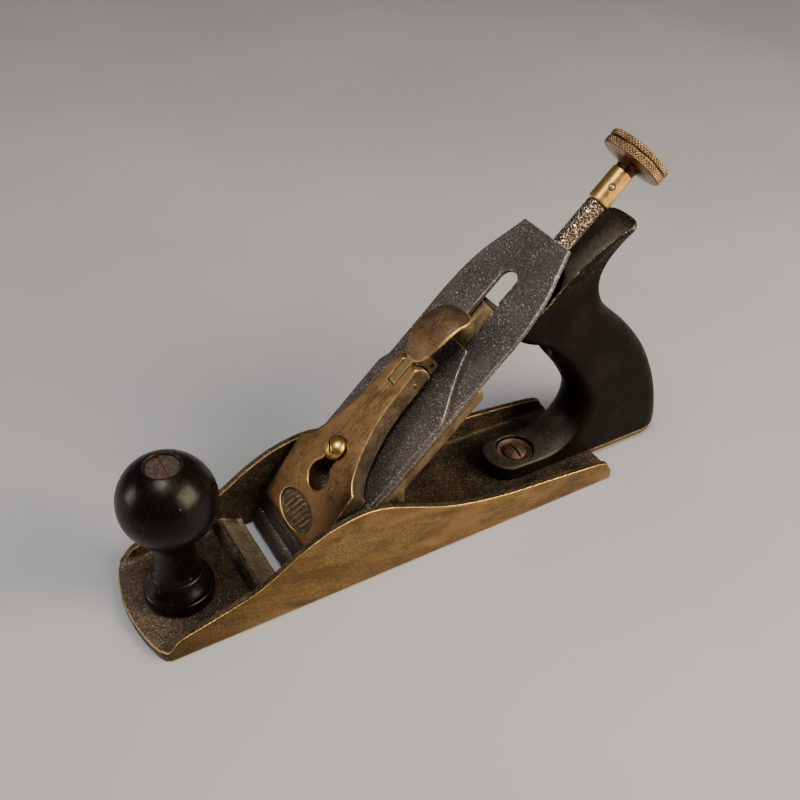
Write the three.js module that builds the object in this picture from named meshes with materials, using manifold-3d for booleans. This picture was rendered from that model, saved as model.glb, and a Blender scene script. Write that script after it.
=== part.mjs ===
// Bench smoothing plane with a thumb-wheel adjuster, lever cap and cam lever.
// Millimetres. +X runs toe to heel, +Y across, +Z up from the sole at z = 0.
// Pieces on the 45 degree bed use bed coordinates: "along" climbs the iron from the sole,
// "off" rises square to the iron's top plane (off = 0), and y is as above.
import * as THREE from 'three';
import Module from 'manifold-3d';
import { mergeVertices, toCreasedNormals } from 'three/addons/utils/BufferGeometryUtils.js';

const wasm = await Module();
wasm.setup();

// ---------------------------------------------------------------- shared dimensions
const DIAG = Math.SQRT1_2;         // sine and cosine of the 45 degree bed
const BED_X = -55.36;              // where the iron's top plane meets the sole plane
const HALF_WIDTH = 29.25;          // half width of the casting
const INNER_HALF = 26.05;          // centre line to the inside of a cheek
const FLOOR = 4.4;                 // top of the casting floor
const SEAT_Z = FLOOR + 0.05;       // underside of the frog and front knob
const HEEL_X = 117.6;              // rear of the casting floor
const HOLE_Z = 1.2;                // bottom of the blind screw holes
const SCREW_END_Z = 1.4;           // bottom of the screws in them
const IRON_HALF = 25.4;            // half width of the iron, 2 in across
const ROD_OFF = -11.9;             // adjuster rod axis
const ROD_BORE = 4.6;              // radius of its hole in the frog and keeper plate
const SPINE_END = 149;             // upper end of the frog's spine, along the bed
const CAP_SCREW_ALONG = 62.5;      // lever cap screw
const CUP_ALONG = 97;              // cap iron screw and the cup that holds its head
const CAM_ALONG = 104, CAM_OFF = 9.5;   // cam pin
const CAM_HOLE_R = 1.75;
const KNOB_X = -94.8;
const TOE_SCREW_X = 78, TAIL_SCREW_X = 142;   // screws holding the tote
const FROG_SCREW_X = -25.4, FROG_SCREW_Y = 14;
// keeper plate screws: y, off
const KEEPER_SCREWS = { upper: [-6.3, -6.2], lower: [6.3, -17.6] };

// ---------------------------------------------------------------- materials
const standard = (settings) => new THREE.MeshStandardMaterial(settings);
const materials = {
  bronze: standard({ color: 0x8a6a38, roughness: 0.42, metalness: 1.0 }),
  cap: standard({ color: 0x8d5f34, roughness: 0.4, metalness: 1.0 }),
  brass: standard({ color: 0xb08a3e, roughness: 0.28, metalness: 1.0 }),
  steel: standard({ color: 0x4b4540, roughness: 0.6, metalness: 0.9 }),
  bright: standard({ color: 0x8c8880, roughness: 0.35, metalness: 1.0 }),
  ebony: standard({ color: 0x0d0b0a, roughness: 0.22, metalness: 0.0 }),
  tote: standard({ color: 0x14110e, roughness: 0.5, metalness: 0.0 }),
  rust: standard({ color: 0x5a3a26, roughness: 0.7, metalness: 0.7 }),
};

// ---------------------------------------------------------------- solids
// Welds a geometry, drops collapsed triangles and faces it outwards for manifold.
function solid(source) {
  source.deleteAttribute('normal');
  source.deleteAttribute('uv');
  const welded = mergeVertices(source, 1e-4);
  const position = welded.attributes.position;
  const index = welded.index.array;
  const triangles = [];
  for (let i = 0; i < index.length; i += 3) {
    const [a, b, c] = index.slice(i, i + 3);
    if (a !== b && b !== c && c !== a) triangles.push(a, b, c);
  }
  const corner = (k) => new THREE.Vector3().fromBufferAttribute(position, triangles[k]);
  let volume = 0;
  for (let i = 0; i < triangles.length; i += 3) {
    volume += corner(i).dot(corner(i + 1).cross(corner(i + 2)));
  }
  if (volume < 0) {
    for (let i = 0; i < triangles.length; i += 3) {
      [triangles[i], triangles[i + 1]] = [triangles[i + 1], triangles[i]];
    }
  }
  const mesh = new wasm.Mesh({
    numProp: 3,
    vertProperties: new Float32Array(position.array),
    triVerts: new Uint32Array(triangles),
  });
  mesh.merge();
  return new wasm.Manifold(mesh);
}
const fuse = (...parts) => parts.reduce((sum, part) => sum.add(part));
const cut = (base, ...tools) => tools.reduce((rest, tool) => rest.subtract(tool), base);

function meshSolid(positions, triangles, frame = new THREE.Matrix4()) {
  const geometry = new THREE.BufferGeometry();
  geometry.setAttribute('position', new THREE.Float32BufferAttribute(positions, 3));
  geometry.setIndex(triangles);
  geometry.applyMatrix4(frame);
  return solid(geometry);
}
// triangles joining consecutive closed rows of equal length
function joinRows(rowCount, rowLength) {
  const triangles = [];
  for (let row = 0; row < rowCount - 1; row++) {
    const low = row * rowLength;
    const high = low + rowLength;
    for (let i = 0; i < rowLength; i++) {
      const j = (i + 1) % rowLength;
      triangles.push(low + i, low + j, high + j, low + i, high + j, high + i);
    }
  }
  return triangles;
}

// ---------------------------------------------------------------- frames
const bedXZ = (along, off) => [
  BED_X + along * DIAG - off * DIAG,
  along * DIAG + off * DIAG,
];
function bedPoint(along, off, y = 0) {
  const [x, z] = bedXZ(along, off);
  return [x, y, z];
}
const ALONG = [DIAG, 0, DIAG];
const OFF = [-DIAG, 0, DIAG];
const ACROSS = [0, 1, 0];
function frame(xAxis, yAxis, zAxis, origin) {
  const axes = [xAxis, yAxis, zAxis].map((axis) => new THREE.Vector3(...axis));
  return new THREE.Matrix4().makeBasis(...axes).setPosition(...origin);
}
// frames for turned pieces, named by where their axis points
const upright = (x, y) => frame([1, 0, 0], ACROSS, [0, 0, 1], [x, y, 0]);
const alongBed = (y, off) => frame(ACROSS, OFF, ALONG, bedPoint(0, off, y));
const offBed = (along) => frame(ALONG, ACROSS, OFF, bedPoint(along, 0));
const acrossBed = (along, off) => frame(OFF, ALONG, ACROSS, bedPoint(along, off));
const ROD_AXIS = alongBed(0, ROD_OFF);
const CAM_AXIS = acrossBed(CAM_ALONG, CAM_OFF);

// ---------------------------------------------------------------- shapes
function prism(points, depth, placement) {
  const shape = new THREE.Shape(points.map(([a, b]) => new THREE.Vector2(a, b)));
  const geometry = new THREE.ExtrudeGeometry(shape, { depth, bevelEnabled: false, steps: 1 });
  geometry.applyMatrix4(placement);
  return solid(geometry);
}
// outline in x, y raised from z0 to z1
const planPrism = (points, z0, z1) =>
  prism(points, z1 - z0, frame([1, 0, 0], ACROSS, [0, 0, 1], [0, 0, z0]));
// outline in x, z spanning y0 to y1
const sidePrism = (points, y0, y1) =>
  prism(points, y1 - y0, frame([1, 0, 0], [0, 0, 1], [0, -1, 0], [0, y1, 0]));
// outline in along, y raised from off0 to off1
const bedPlan = (points, off0, off1) =>
  prism(points, off1 - off0, frame(ALONG, ACROSS, OFF, bedPoint(0, off0)));
// outline in along, off spanning y0 to y1
const bedSide = (points, y0, y1) =>
  prism(points, y1 - y0, frame(ALONG, OFF, [0, -1, 0], bedPoint(0, 0, y1)));

const rect = (a0, a1, b0, b1) => [[a0, b0], [a1, b0], [a1, b1], [a0, b1]];
function ellipse(centreA, centreB, radiusA, radiusB, count) {
  return Array.from({ length: count }, (_, i) => {
    const angle = 2 * Math.PI * i / count;
    return [centreA + radiusA * Math.cos(angle), centreB + radiusB * Math.sin(angle)];
  });
}
const camDisc = (radius, count) => ellipse(CAM_ALONG, CAM_OFF, radius, radius, count);
// round-ended slot on the centre line
function slotShape(start, end, radius) {
  const steps = 10;
  const points = [];
  for (const [centre, from] of [[end - radius, -Math.PI / 2], [start + radius, Math.PI / 2]]) {
    for (let i = 0; i <= steps; i++) {
      const angle = from + Math.PI * i / steps;
      points.push([centre + radius * Math.cos(angle), radius * Math.sin(angle)]);
    }
  }
  return points;
}
// whole outline from its +Y half
const mirror = (half) => [...half.map(([along, y]) => [along, -y]), ...[...half].reverse()];

// Catmull-Rom curve through points of any dimension, with steps between each pair
function curve(points, steps) {
  const result = [];
  const last = points.length - 1;
  for (let i = 0; i < last; i++) {
    const before = points[Math.max(i - 1, 0)];
    const start = points[i];
    const end = points[i + 1];
    const after = points[Math.min(i + 2, last)];
    for (let k = 0; k < steps; k++) {
      const t = k / steps;
      result.push(start.map((p1, j) => {
        const [p0, p2, p3] = [before[j], end[j], after[j]];
        return 0.5 * (2 * p1 + (p2 - p0) * t
          + (2 * p0 - 5 * p1 + 4 * p2 - p3) * t * t
          + (3 * p1 - p0 - 3 * p2 + p3) * t * t * t);
      }));
    }
  }
  result.push([...points[last]]);
  return result;
}

// Turned piece: profile of [radius, height] about local Z.
// A profile that starts off the axis closes on itself, leaving a bore.
function turned(profile, segments, placement) {
  const closed = profile[0][0] !== 0;
  const positions = [];
  const triangles = [];
  const rows = profile.map(([radius, height]) => {
    const count = radius === 0 ? 1 : segments;
    return Array.from({ length: count }, (_, i) => {
      const angle = 2 * Math.PI * i / segments;
      positions.push(radius * Math.cos(angle), radius * Math.sin(angle), height);
      return positions.length / 3 - 1;
    });
  });
  for (let k = 0; k < (closed ? rows.length : rows.length - 1); k++) {
    const low = rows[k];
    const high = rows[(k + 1) % rows.length];
    for (let i = 0; i < segments; i++) {
      const j = (i + 1) % segments;
      if (low.length === 1) triangles.push(low[0], high[j], high[i]);
      else if (high.length === 1) triangles.push(low[i], low[j], high[0]);
      else triangles.push(low[i], low[j], high[j], low[i], high[j], high[i]);
    }
  }
  return meshSolid(positions, triangles, placement);
}
const rod = (radius, start, end, segments, placement) =>
  turned([[0, start], [radius, start], [radius, end], [0, end]], segments, placement);

// upright screw with a driver slot running across the plane
function slottedScrew(profile, segments, x, y, slot) {
  const { halfWidth, halfLength, z0, z1 } = slot;
  const outline = rect(x - halfWidth, x + halfWidth, y - halfLength, y + halfLength);
  return cut(turned(profile, segments, upright(x, y)), planPrism(outline, z0, z1));
}

// ---------------------------------------------------------------- plane body
function planeBody() {
  // half of the floor from the toe tip to the heel: x, y
  const half = [
    [-117.7, 0], [-117.55, 5], [-117.0, 10], [-116.0, 15.5], [-114.85, 20.2],
    [-113.6, 24.2], [-112.4, 26.8], [-111.0, 28.5], [-109.2, 29.25],
    [HEEL_X - 1.2, HALF_WIDTH], [HEEL_X, HALF_WIDTH - 1.2],
  ];
  const outline = [...half.map(([x, y]) => [x, -y]), ...half.slice(1).reverse()];

  // round-ended tongue behind the heel, under the tote
  const tongueHalf = 12, tongueRound = 152, tongueEnd = 164, tongueUnder = 2.0;
  const tongueStart = HEEL_X - 6;
  const endSteps = 14;
  const tongue = [[tongueStart, -tongueHalf], [tongueRound, -tongueHalf]];
  for (let i = 1; i < endSteps; i++) {
    const angle = -Math.PI / 2 + Math.PI * i / endSteps;
    tongue.push([
      tongueRound + (tongueEnd - tongueRound) * Math.cos(angle),
      tongueHalf * Math.sin(angle),
    ]);
  }
  tongue.push([tongueRound, tongueHalf], [tongueStart, tongueHalf]);

  // top edge of a cheek, toe to heel: x, z
  const cheekTop = curve([
    [-112.5, 4.6], [-110.4, 5.3], [-109, 6.7], [-106.6, 9.5], [-102.9, 11.3],
    [-89.5, 14.8], [-72.9, 19.8], [-62.1, 25.7], [-52.8, 32.0], [-44.2, 36.6],
    [-35.5, 39.9], [-22.6, 41.9], [-11.5, 40.0], [0.9, 34.7], [18.4, 26.9],
    [35.6, 21.8], [55.8, 18.2], [78.8, 16.0], [94, 14.4], [105.8, 13.0], [111.2, 11.9],
  ], 3);
  const cheek = [
    [-121, 0], [HEEL_X, 0], [HEEL_X, 3.2], [115.3, 7.3], [113.6, 10.4],
    ...cheekTop.reverse(), [-121, 4.0],
  ];
  // low rib across the floor at the toe side of the mouth: x, z
  const rib = [
    [-69.6, 2], [-69.2, 4.6], [-67.6, 8.6], [-66.9, 9.5],
    [-66.0, 9.8], [-65.1, 9.4], [-55.2, 3.1], [-55.2, 2],
  ];
  // mouth opening through the floor: x, z
  const mouth = [
    [-56.7, -1], [-56.4, 0], [-55.2, 3.1], [-55.2, 20],
    [-44, 20], [-44, 7.7], [-49.3, 2.4], [-49.3, -1],
  ];
  // radius, z from, z to, segments, x, y
  const holes = [
    [3.15, HOLE_Z, 20, 24, KNOB_X, 0],
    [3.15, HOLE_Z, 20, 24, TOE_SCREW_X, 0],
    [2.8, HOLE_Z, 20, 20, FROG_SCREW_X, FROG_SCREW_Y],
    [2.8, HOLE_Z, 20, 20, FROG_SCREW_X, -FROG_SCREW_Y],
    [2.6, 0, 20, 20, TAIL_SCREW_X, 0],
    [4.9, 0, 3.5, 24, TAIL_SCREW_X, 0],
  ];

  // the cheeks are cut back to the floor's outline
  const within = planPrism(outline, -1, 60);
  const casting = fuse(
    planPrism(outline, 0, FLOOR),
    planPrism(tongue, tongueUnder, FLOOR),
    sidePrism(cheek, INNER_HALF, HALF_WIDTH + 1).intersect(within),
    sidePrism(cheek, -HALF_WIDTH - 1, -INNER_HALF).intersect(within),
    sidePrism(rib, -INNER_HALF - 0.5, INNER_HALF + 0.5),
  );
  return cut(
    casting,
    sidePrism(mouth, -INNER_HALF, INNER_HALF),
    ...holes.map(([radius, z0, z1, segments, x, y]) =>
      rod(radius, z0, z1, segments, upright(x, y))),
  );
}

// ---------------------------------------------------------------- frog and keeper plate
const keeperHoles = (start) => Object.values(KEEPER_SCREWS).map(([y, off]) =>
  rod(1.35, start, 160, 12, alongBed(y, off)));

function frog() {
  const faceOff = -2.45;          // face just under the iron
  const halfWidth = 25.4;
  const rearX = -1.2;
  const footAlong = (SEAT_Z - faceOff * DIAG) / DIAG;
  const side = [
    bedXZ(footAlong, faceOff), [rearX, SEAT_Z], [rearX, 42.56],
    bedXZ(118.4, -8.2), bedXZ(119.8, -7.4), bedXZ(121, -5.2), bedXZ(121, faceOff),
  ];
  const spine = bedSide(rect(112, SPINE_END, -19.4, -3.5), -8.5, 8.5);
  const web = bedSide(rect(46, 128, -29, -19.3), -4, 4);
  const screwHoles = [-1, 1].flatMap((sign) => {
    const axis = upright(FROG_SCREW_X, sign * FROG_SCREW_Y);
    return [rod(5.2, 10, 40, 24, axis), rod(2.9, 0, 40, 20, axis)];
  });
  return cut(
    fuse(sidePrism(side, -halfWidth, halfWidth), spine, web),
    bedPlan(rect(81.5, 111, -9.3, 9.3), -19.3, 2),   // opening for the traveller
    rod(ROD_BORE, 105, 160, 28, ROD_AXIS),
    rod(6.4, 144.8, 160, 28, ROD_AXIS),              // recess for the rod's collar
    ...keeperHoles(141),
    rod(3.1, -18, 2, 20, offBed(CAP_SCREW_ALONG)),
    ...screwHoles,
  );
}

function frogScrew(sign) {
  const profile = [
    [0, SCREW_END_Z], [2.5, SCREW_END_Z], [2.5, 10.2], [4.8, 10.2],
    [4.8, 13.6], [4.2, 14.2], [0, 14.2],
  ];
  const slot = { halfWidth: 0.6, halfLength: 6, z0: 13, z1: 16 };
  return slottedScrew(profile, 20, FROG_SCREW_X, sign * FROG_SCREW_Y, slot);
}

function keeperPlate() {
  return cut(
    bedSide(rect(SPINE_END + 0.1, 151, -19.3, -3.6), -8.4, 8.4),
    rod(ROD_BORE, 140, 160, 28, ROD_AXIS),
    ...keeperHoles(140),
  );
}

function keeperScrew([y, off]) {
  const screw = turned([
    [0, 142], [1.15, 142], [1.15, 151.1], [2.1, 151.1],
    [2.1, 151.9], [1.5, 152.5], [0, 152.5],
  ], 16, alongBed(y, off));
  return cut(screw, bedSide(rect(152, 153, off - 0.25, off + 0.25), y - 3, y + 3));
}

// ---------------------------------------------------------------- front knob
function frontKnob() {
  const ballZ = 58, ballRadius = 19.9;
  const ballRise = (radius) => Math.sqrt(ballRadius ** 2 - radius ** 2);
  const bore = 3.4, neckRadius = 12, mouthRadius = 7.3, recessFloor = 71.8;
  const profile = [
    [bore, SEAT_Z], [14.4, SEAT_Z], [14.8, 5.0], [14.8, 9.8], [14.1, 10.5],
    [14.1, 11.2], [14.3, 11.8], [13.6, 13.0], [12.3, 14.9], [11.2, 16.7],
    [10.6, 17.9], [10.2, 18.2], [9.3, 21.2], [8.85, 25], [8.65, 29],
    [8.6, 33], [9.1, 36.6], [10.2, 39.6], [neckRadius, ballZ - ballRise(neckRadius)],
  ];
  for (let degrees = -45; degrees <= 68.1; degrees += 11.3) {
    const angle = degrees * Math.PI / 180;
    profile.push([ballRadius * Math.cos(angle), ballZ + ballRadius * Math.sin(angle)]);
  }
  // recess for the bolt head
  profile.push(
    [mouthRadius, ballZ + ballRise(mouthRadius)],
    [7.0, 76.1], [7.0, recessFloor], [bore, recessFloor],
  );
  return turned(profile, 34, upright(KNOB_X, 0));
}

function knobBolt() {
  const profile = [
    [0, SCREW_END_Z], [2.9, SCREW_END_Z], [2.9, 71.95], [6.6, 71.95],
    [6.6, 75.0], [6.0, 75.5], [0, 75.7],
  ];
  const slot = { halfWidth: 0.7, halfLength: 8, z0: 74.5, z1: 78 };
  return slottedScrew(profile, 28, KNOB_X, 0, slot);
}

// ---------------------------------------------------------------- tote
// Centre outline in order round the side view. Columns: x, z, the inset in x and in z
// reached at the side faces, and a thickness factor.
const toteBottom = [
  [60.4, 4.5, 13, 0, 1], [74, 4.5, 4, 0, 1], [100, 4.5, 0, 0, 1],
  [130, 4.5, 0, 0, 1], [152, 4.5, -2, 0, 1],
];
// heel side, bottom to horn
const toteRear = [
  [164.6, 4.5, -11, 0, 1], [165.2, 8, -11, 0, 1], [164.5, 11.5, -10.4, -0.4, 1],
  [162.7, 17.2, -9.4, -1.6, 1], [158.0, 31.9, -8, -3.2, 1], [152.5, 44.2, -7.2, -4.2, 1],
  [143.6, 59.2, -6.2, -4.8, 1], [131.8, 72.8, -5.4, -5.2, 1], [120.8, 82.8, -5.2, -5.0, 1],
  [114.0, 89.4, -5.8, -3.6, 0.97], [109.7, 95.4, -6.4, -1.2, 0.92],
  [107.1, 102.0, -6.2, 1.2, 0.88], [107.5, 107.6, -5.2, 2.8, 0.85],
  [109.9, 112.4, -4.2, 3.4, 0.82], [113.2, 116.2, -3.6, 3.4, 0.8],
  [117.8, 120.6, -4.2, 2.6, 0.79], [121.4, 124.8, -6.4, 1.2, 0.79],
  [123.0, 128.6, -8, -0.4, 0.8],
];
// sloping top, horn to nose
const toteTop = [
  [123.0, 128.6, -8, -0.4, 0.8], [121.9, 130.7, -6.5, -1.2, 0.81],
  [118, 131.5, -2.4, -1.2, 0.82], [113, 130.8, 0.3, -1.2, 0.83],
  [106, 128.0, 0.6, -1.2, 0.83], [95.5, 121.8, 0.7, -1.1, 0.83],
  [85, 113.6, 0.7, -1.0, 0.83], [75.2, 104.0, 0.7, -0.9, 0.82],
  [64.5, 92.3, 2.2, -1.8, 0.72],
];
// toe side of the grip, nose down to the top of the foot
const toteFront = [
  [64.5, 92.3, 2.2, -1.8, 0.72], [62.6, 88.6, 4.5, -0.6, 0.74], [64.4, 84.8, 4.5, 1.2, 0.8],
  [69.4, 81, 4.2, 4.0, 0.88], [75.8, 77.5, 5.2, 6.0, 0.94], [81.9, 72.8, 6.0, 6.2, 1],
  [90.2, 64.0, 6.6, 5.4, 1], [98.8, 52.6, 7.2, 3.4, 1], [103.6, 44.6, 7.6, 1.8, 1],
  [105.8, 38.8, 7.8, 0.4, 1], [106.1, 32.6, 7.6, -1.2, 1], [104.8, 26.8, 6.6, -3, 1],
  [101.8, 21.2, 4.6, -3.8, 1], [97.2, 16.8, 2.4, -3.4, 1], [92, 14.4, 1, -2.8, 1],
  [86, 13.6, 0.2, -2.4, 1], [75, 13.5, 1, -1.9, 1], [63.2, 13.5, 10.6, -1.4, 1],
];
// end of the foot, top to bottom
const toteToe = [
  [63.2, 13.5, 10.6, -1.4, 1], [61.3, 12.9, 12.4, -0.8, 1],
  [60.5, 11.6, 13, -0.2, 1], [60.4, 8, 13, 0, 1],
];

function toteBlank() {
  const halfThickness = 12.4;
  // slices across the thickness, as fractions of the half thickness
  const levels = [-1, -0.975, -0.9, -0.74, -0.42, 0, 0.42, 0.74, 0.9, 0.975, 1];
  // each curve's last point is the next one's first
  const curves = [toteRear, toteTop, toteFront].flatMap((part) => curve(part, 2).slice(0, -1));
  const loop = [...toteBottom, ...curves, ...toteToe];
  const positions = [];
  for (const level of levels) {
    const inset = 1 - Math.sqrt(Math.max(0, 1 - level * level));
    for (const [x, z, insetX, insetZ, factor] of loop) {
      positions.push(x + insetX * inset, halfThickness * level * factor, z + insetZ * inset);
    }
  }
  const triangles = joinRows(levels.length, loop.length);
  const face = loop.map(([x, z, insetX, insetZ]) => new THREE.Vector2(x + insetX, z + insetZ));
  const farStart = (levels.length - 1) * loop.length;
  const faceTriangles = THREE.ShapeUtils.triangulateShape(face, []);
  for (const [a, b, c] of faceTriangles) triangles.push(c, b, a);
  for (const [a, b, c] of faceTriangles) triangles.push(farStart + a, farStart + b, farStart + c);
  return meshSolid(positions, triangles);
}

function tote() {
  return cut(
    toteBlank(),
    rod(9.3, 9.0, 30, 32, upright(TOE_SCREW_X, 0)),
    rod(3.3, 0, 30, 24, upright(TOE_SCREW_X, 0)),
    rod(2.4, 0, 25, 16, upright(TAIL_SCREW_X, 0)),
  );
}

function toteWasher() {
  const profile = [[3.4, 9.1], [9.0, 9.1], [9.0, 9.9], [8.6, 10.3], [3.4, 10.3]];
  return turned(profile, 32, upright(TOE_SCREW_X, 0));
}

function toteScrew() {
  const profile = [
    [0, SCREW_END_Z], [2.9, SCREW_END_Z], [2.9, 10.4], [7.8, 10.4],
    [7.8, 12.4], [6.6, 13.3], [4.0, 13.9], [0, 14.1],
  ];
  const slot = { halfWidth: 0.7, halfLength: 9, z0: 12.6, z1: 16 };
  return slottedScrew(profile, 32, TOE_SCREW_X, 0, slot);
}

// driven up from below, head in the tongue
function toteTailScrew() {
  const profile = [[0, 2.1], [4.6, 2.1], [4.6, 2.5], [2.3, 3.4], [2.3, 24.5], [0, 24.5]];
  const slot = { halfWidth: 0.5, halfLength: 6, z0: 1, z1: 2.7 };
  return slottedScrew(profile, 20, TAIL_SCREW_X, 0, slot);
}

// ---------------------------------------------------------------- cutting iron and cap iron
function cuttingIron() {
  const thickness = 2.35, edge = 5.2, bevel = 5.0, top = 187;
  // along, y
  const half = [
    [edge, IRON_HALF], [142, IRON_HALF], [150, 25.05], [158, 24.05], [166, 22.4],
    [172, 20.4], [177.5, 18.3], [182.5, 16.5], [top - 0.6, 15.1], [top, 14.5],
  ];
  const side = [[edge, 0], [edge + bevel, -thickness], [top, -thickness], [top, 0]];
  return cut(
    bedSide(side, -30, 30).intersect(bedPlan(mirror(half), -6, 6)),
    bedPlan(slotShape(46, 166.5, 5.25), -6, 6),
    rod(7.1, -6, 6, 28, offBed(44)),
  );
}

function capIron() {
  const under = 0.1, upper = 2.5 + under;
  const start = 12.5, end = 129.4, halfWidth = IRON_HALF - 0.05;
  // along, y
  const half = [
    [start, halfWidth], [100, halfWidth], [103.5, 23.9], [107.7, 21.4],
    [113, 18.1], [119, 14.8], [124, 12.6], [end - 0.6, 10.7], [end, 10.1],
  ];
  const side = [
    [start, under], [end, under], [end, upper], [24, upper], [19, 2.25], [start + 0.3, 0.8],
  ];
  return cut(
    bedSide(side, -30, 30).intersect(bedPlan(mirror(half), -6, 6)),
    bedPlan(slotShape(55.5, 74.5, 5.2), -6, 6),
    rod(4.15, -6, 6, 24, offBed(CUP_ALONG)),
  );
}

function capIronScrew() {
  return turned([
    [0, -5.5], [6.1, -5.5], [6.5, -5.1], [6.5, -2.65], [4.0, -2.65], [4.0, 2.45], [0, 2.45],
  ], 24, offBed(CUP_ALONG));
}

// ---------------------------------------------------------------- adjuster
// block on the rod with a cup for the cap iron screw's head
function adjusterTraveller() {
  const halfLength = 7.5;
  const block = rect(CUP_ALONG - halfLength, CUP_ALONG + halfLength, -18, -7.9);
  return cut(
    fuse(bedSide(block, -6.8, 6.8), rod(8.8, -8.3, -2.9, 28, offBed(CUP_ALONG))),
    rod(6.8, -5.8, 0, 28, offBed(CUP_ALONG)),
    rod(3.25, 80, 120, 20, ROD_AXIS),
  );
}

// the pin crosses the rod halfway between -Y and the bed's normal
const PIN_AXIS = frame(ALONG, [0.5, -DIAG, -0.5], [-0.5, -DIAG, 0.5], bedPoint(218.5, ROD_OFF));
const pinHole = () => rod(1.15, -8, 8, 14, PIN_AXIS);

function adjusterRod() {
  const radius = 4.3;
  const shaft = turned([
    [0, 90], [2.6, 90], [3.0, 90.5], [3.0, 112], [4.1, 112.8], [4.1, 145.2],
    [6.1, 145.2], [6.1, 148.7], [radius, 148.7], [radius, 210.5],
    [3.0, 210.5], [3.0, 224.2], [0, 224.2],
  ], 28, ROD_AXIS);
  return cut(shaft, pinHole());
}

// thumb wheel with a socket over the rod's end
function adjusterKnob() {
  const wheel = turned([
    [0, 224.5], [3.15, 224.5], [3.15, 211.0], [4.7, 211.0], [5.05, 211.4],
    [5.05, 225.4], [4.7, 225.9], [4.1, 226.2], [4.1, 229.8], [4.6, 230.6],
    [6.2, 231.2], [13.7, 231.3], [14.3, 231.8], [14.75, 232.2], [14.75, 234.6],
    [14.3, 235.0], [14.3, 235.4], [14.75, 235.8], [14.75, 237.5],
    [14.2, 238.0], [12.6, 238.2], [11.8, 237.6], [0, 237.3],
  ], 36, ROD_AXIS);
  return cut(wheel, pinHole());
}

// ---------------------------------------------------------------- lever cap
function leverCap() {
  // upper and under faces: along, off
  const upper = curve([
    [20.0, 4.6], [21.0, 6.2], [23.4, 7.3], [30, 8.6], [40, 10.4], [48, 11.8],
    [55, 12.8], [62, 13.55], [72, 14.5], [85, 14.9], [98, 15.0], [108.5, 15.0],
  ], 2);
  const under = [
    [19.8, 3.6], [20.6, 2.85], [22.6, 2.8], [25, 2.9], [30, 3.1], [48, 3.4],
    [55, 3.8], [62, 4.8], [72, 5.5], [100, 5.4], [110.8, 5.3],
  ];
  // rounded upper end about the cam pin
  const endRadius = 8.2;
  const end = [];
  for (let degrees = -30; degrees <= 42; degrees += 12) {
    const angle = degrees * Math.PI / 180;
    end.push([
      CAM_ALONG + endRadius * Math.cos(angle),
      CAM_OFF + endRadius * Math.sin(angle),
    ]);
  }
  const side = [...under, ...end, ...[...upper].reverse()];
  // along, y
  const half = [
    [19.4, 21.4], [20.0, 22.4], [21.4, 23.1], [54.2, 23.1], [55.1, 22.6], [57, 20.2],
    [60, 17.5], [64, 15.4], [68, 13.8], [72, 12.5], [78, 10.7], [83.5, 9.3],
    [90, 8.4], [96, 8.0], [104, 7.5], [110, 7.2], [112.6, 6.6],
  ];

  // shallow oval recess in the upper face
  const recessStart = 20.5, recessEnd = 42, recessDepth = 0.9;
  const recessFloor = upper
    .filter(([along]) => along > recessStart && along < recessEnd)
    .map(([along, off]) => [along, off - recessDepth]);
  const recess = bedSide([...recessFloor, [recessEnd, 20], [recessStart, 20]], -20, 20)
    .intersect(bedPlan(ellipse(29.6, 0, 7.0, 12.7, 36), 0, 22));

  // keyhole for the lever cap screw
  const keyAlong = 48.5, keySlotRadius = 3.6;
  const keySlot = slotShape(keyAlong, CAP_SCREW_ALONG + keySlotRadius, keySlotRadius);
  const camGapHalf = 2.55;
  return cut(
    bedSide(side, -26, 26).intersect(bedPlan(mirror(half), 0, 20)),
    recess,
    rod(6.5, 0, 22, 32, offBed(keyAlong)),
    bedPlan(keySlot, 0, 22),
    bedSide(camDisc(7.1, 36), -camGapHalf, camGapHalf),
    bedSide(rect(CAM_ALONG, 114, 0, 22), -camGapHalf, camGapHalf),
    rod(CAM_HOLE_R, -12, 12, 16, CAM_AXIS),
  );
}

function leverCapScrew() {
  const screw = turned([
    [0, -16], [2.9, -16], [2.9, 14.35], [5.4, 14.35], [5.7, 14.7],
    [5.7, 15.2], [5.2, 16.4], [4.0, 17.6], [2.3, 18.3], [0, 18.5],
  ], 32, offBed(CAP_SCREW_ALONG));
  // driver slot, turned askew to the bed
  const [slotAlong, slotY] = [0.62, 0.784];
  const slot = rect(-7, 7, -0.45, 0.45).map(([a, b]) => [
    CAP_SCREW_ALONG + a * slotAlong - b * slotY,
    a * slotY + b * slotAlong,
  ]);
  return cut(screw, bedPlan(slot, 16.8, 21));
}

// ---------------------------------------------------------------- cam lever
// upper centre line of the thumb leaf: along, off, half width, drop at the edges
const leafStations = curve([
  [111.5, 14.72, 3.6, 0.02], [114.2, 15.12, 4.9, 0.12], [117, 15.68, 6.7, 0.28],
  [120.5, 16.38, 8.3, 0.48], [125, 16.68, 9.3, 0.68], [130, 16, 9.5, 0.8],
  [134.6, 14.14, 9, 0.84], [137.6, 12.06, 8.8, 0.76], [139.4, 10, 7.8, 0.6],
  [140.4, 8.2, 6.3, 0.4], [140.9, 7, 4.3, 0.2], [141, 6.24, 1.8, 0.04],
], 2);

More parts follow.
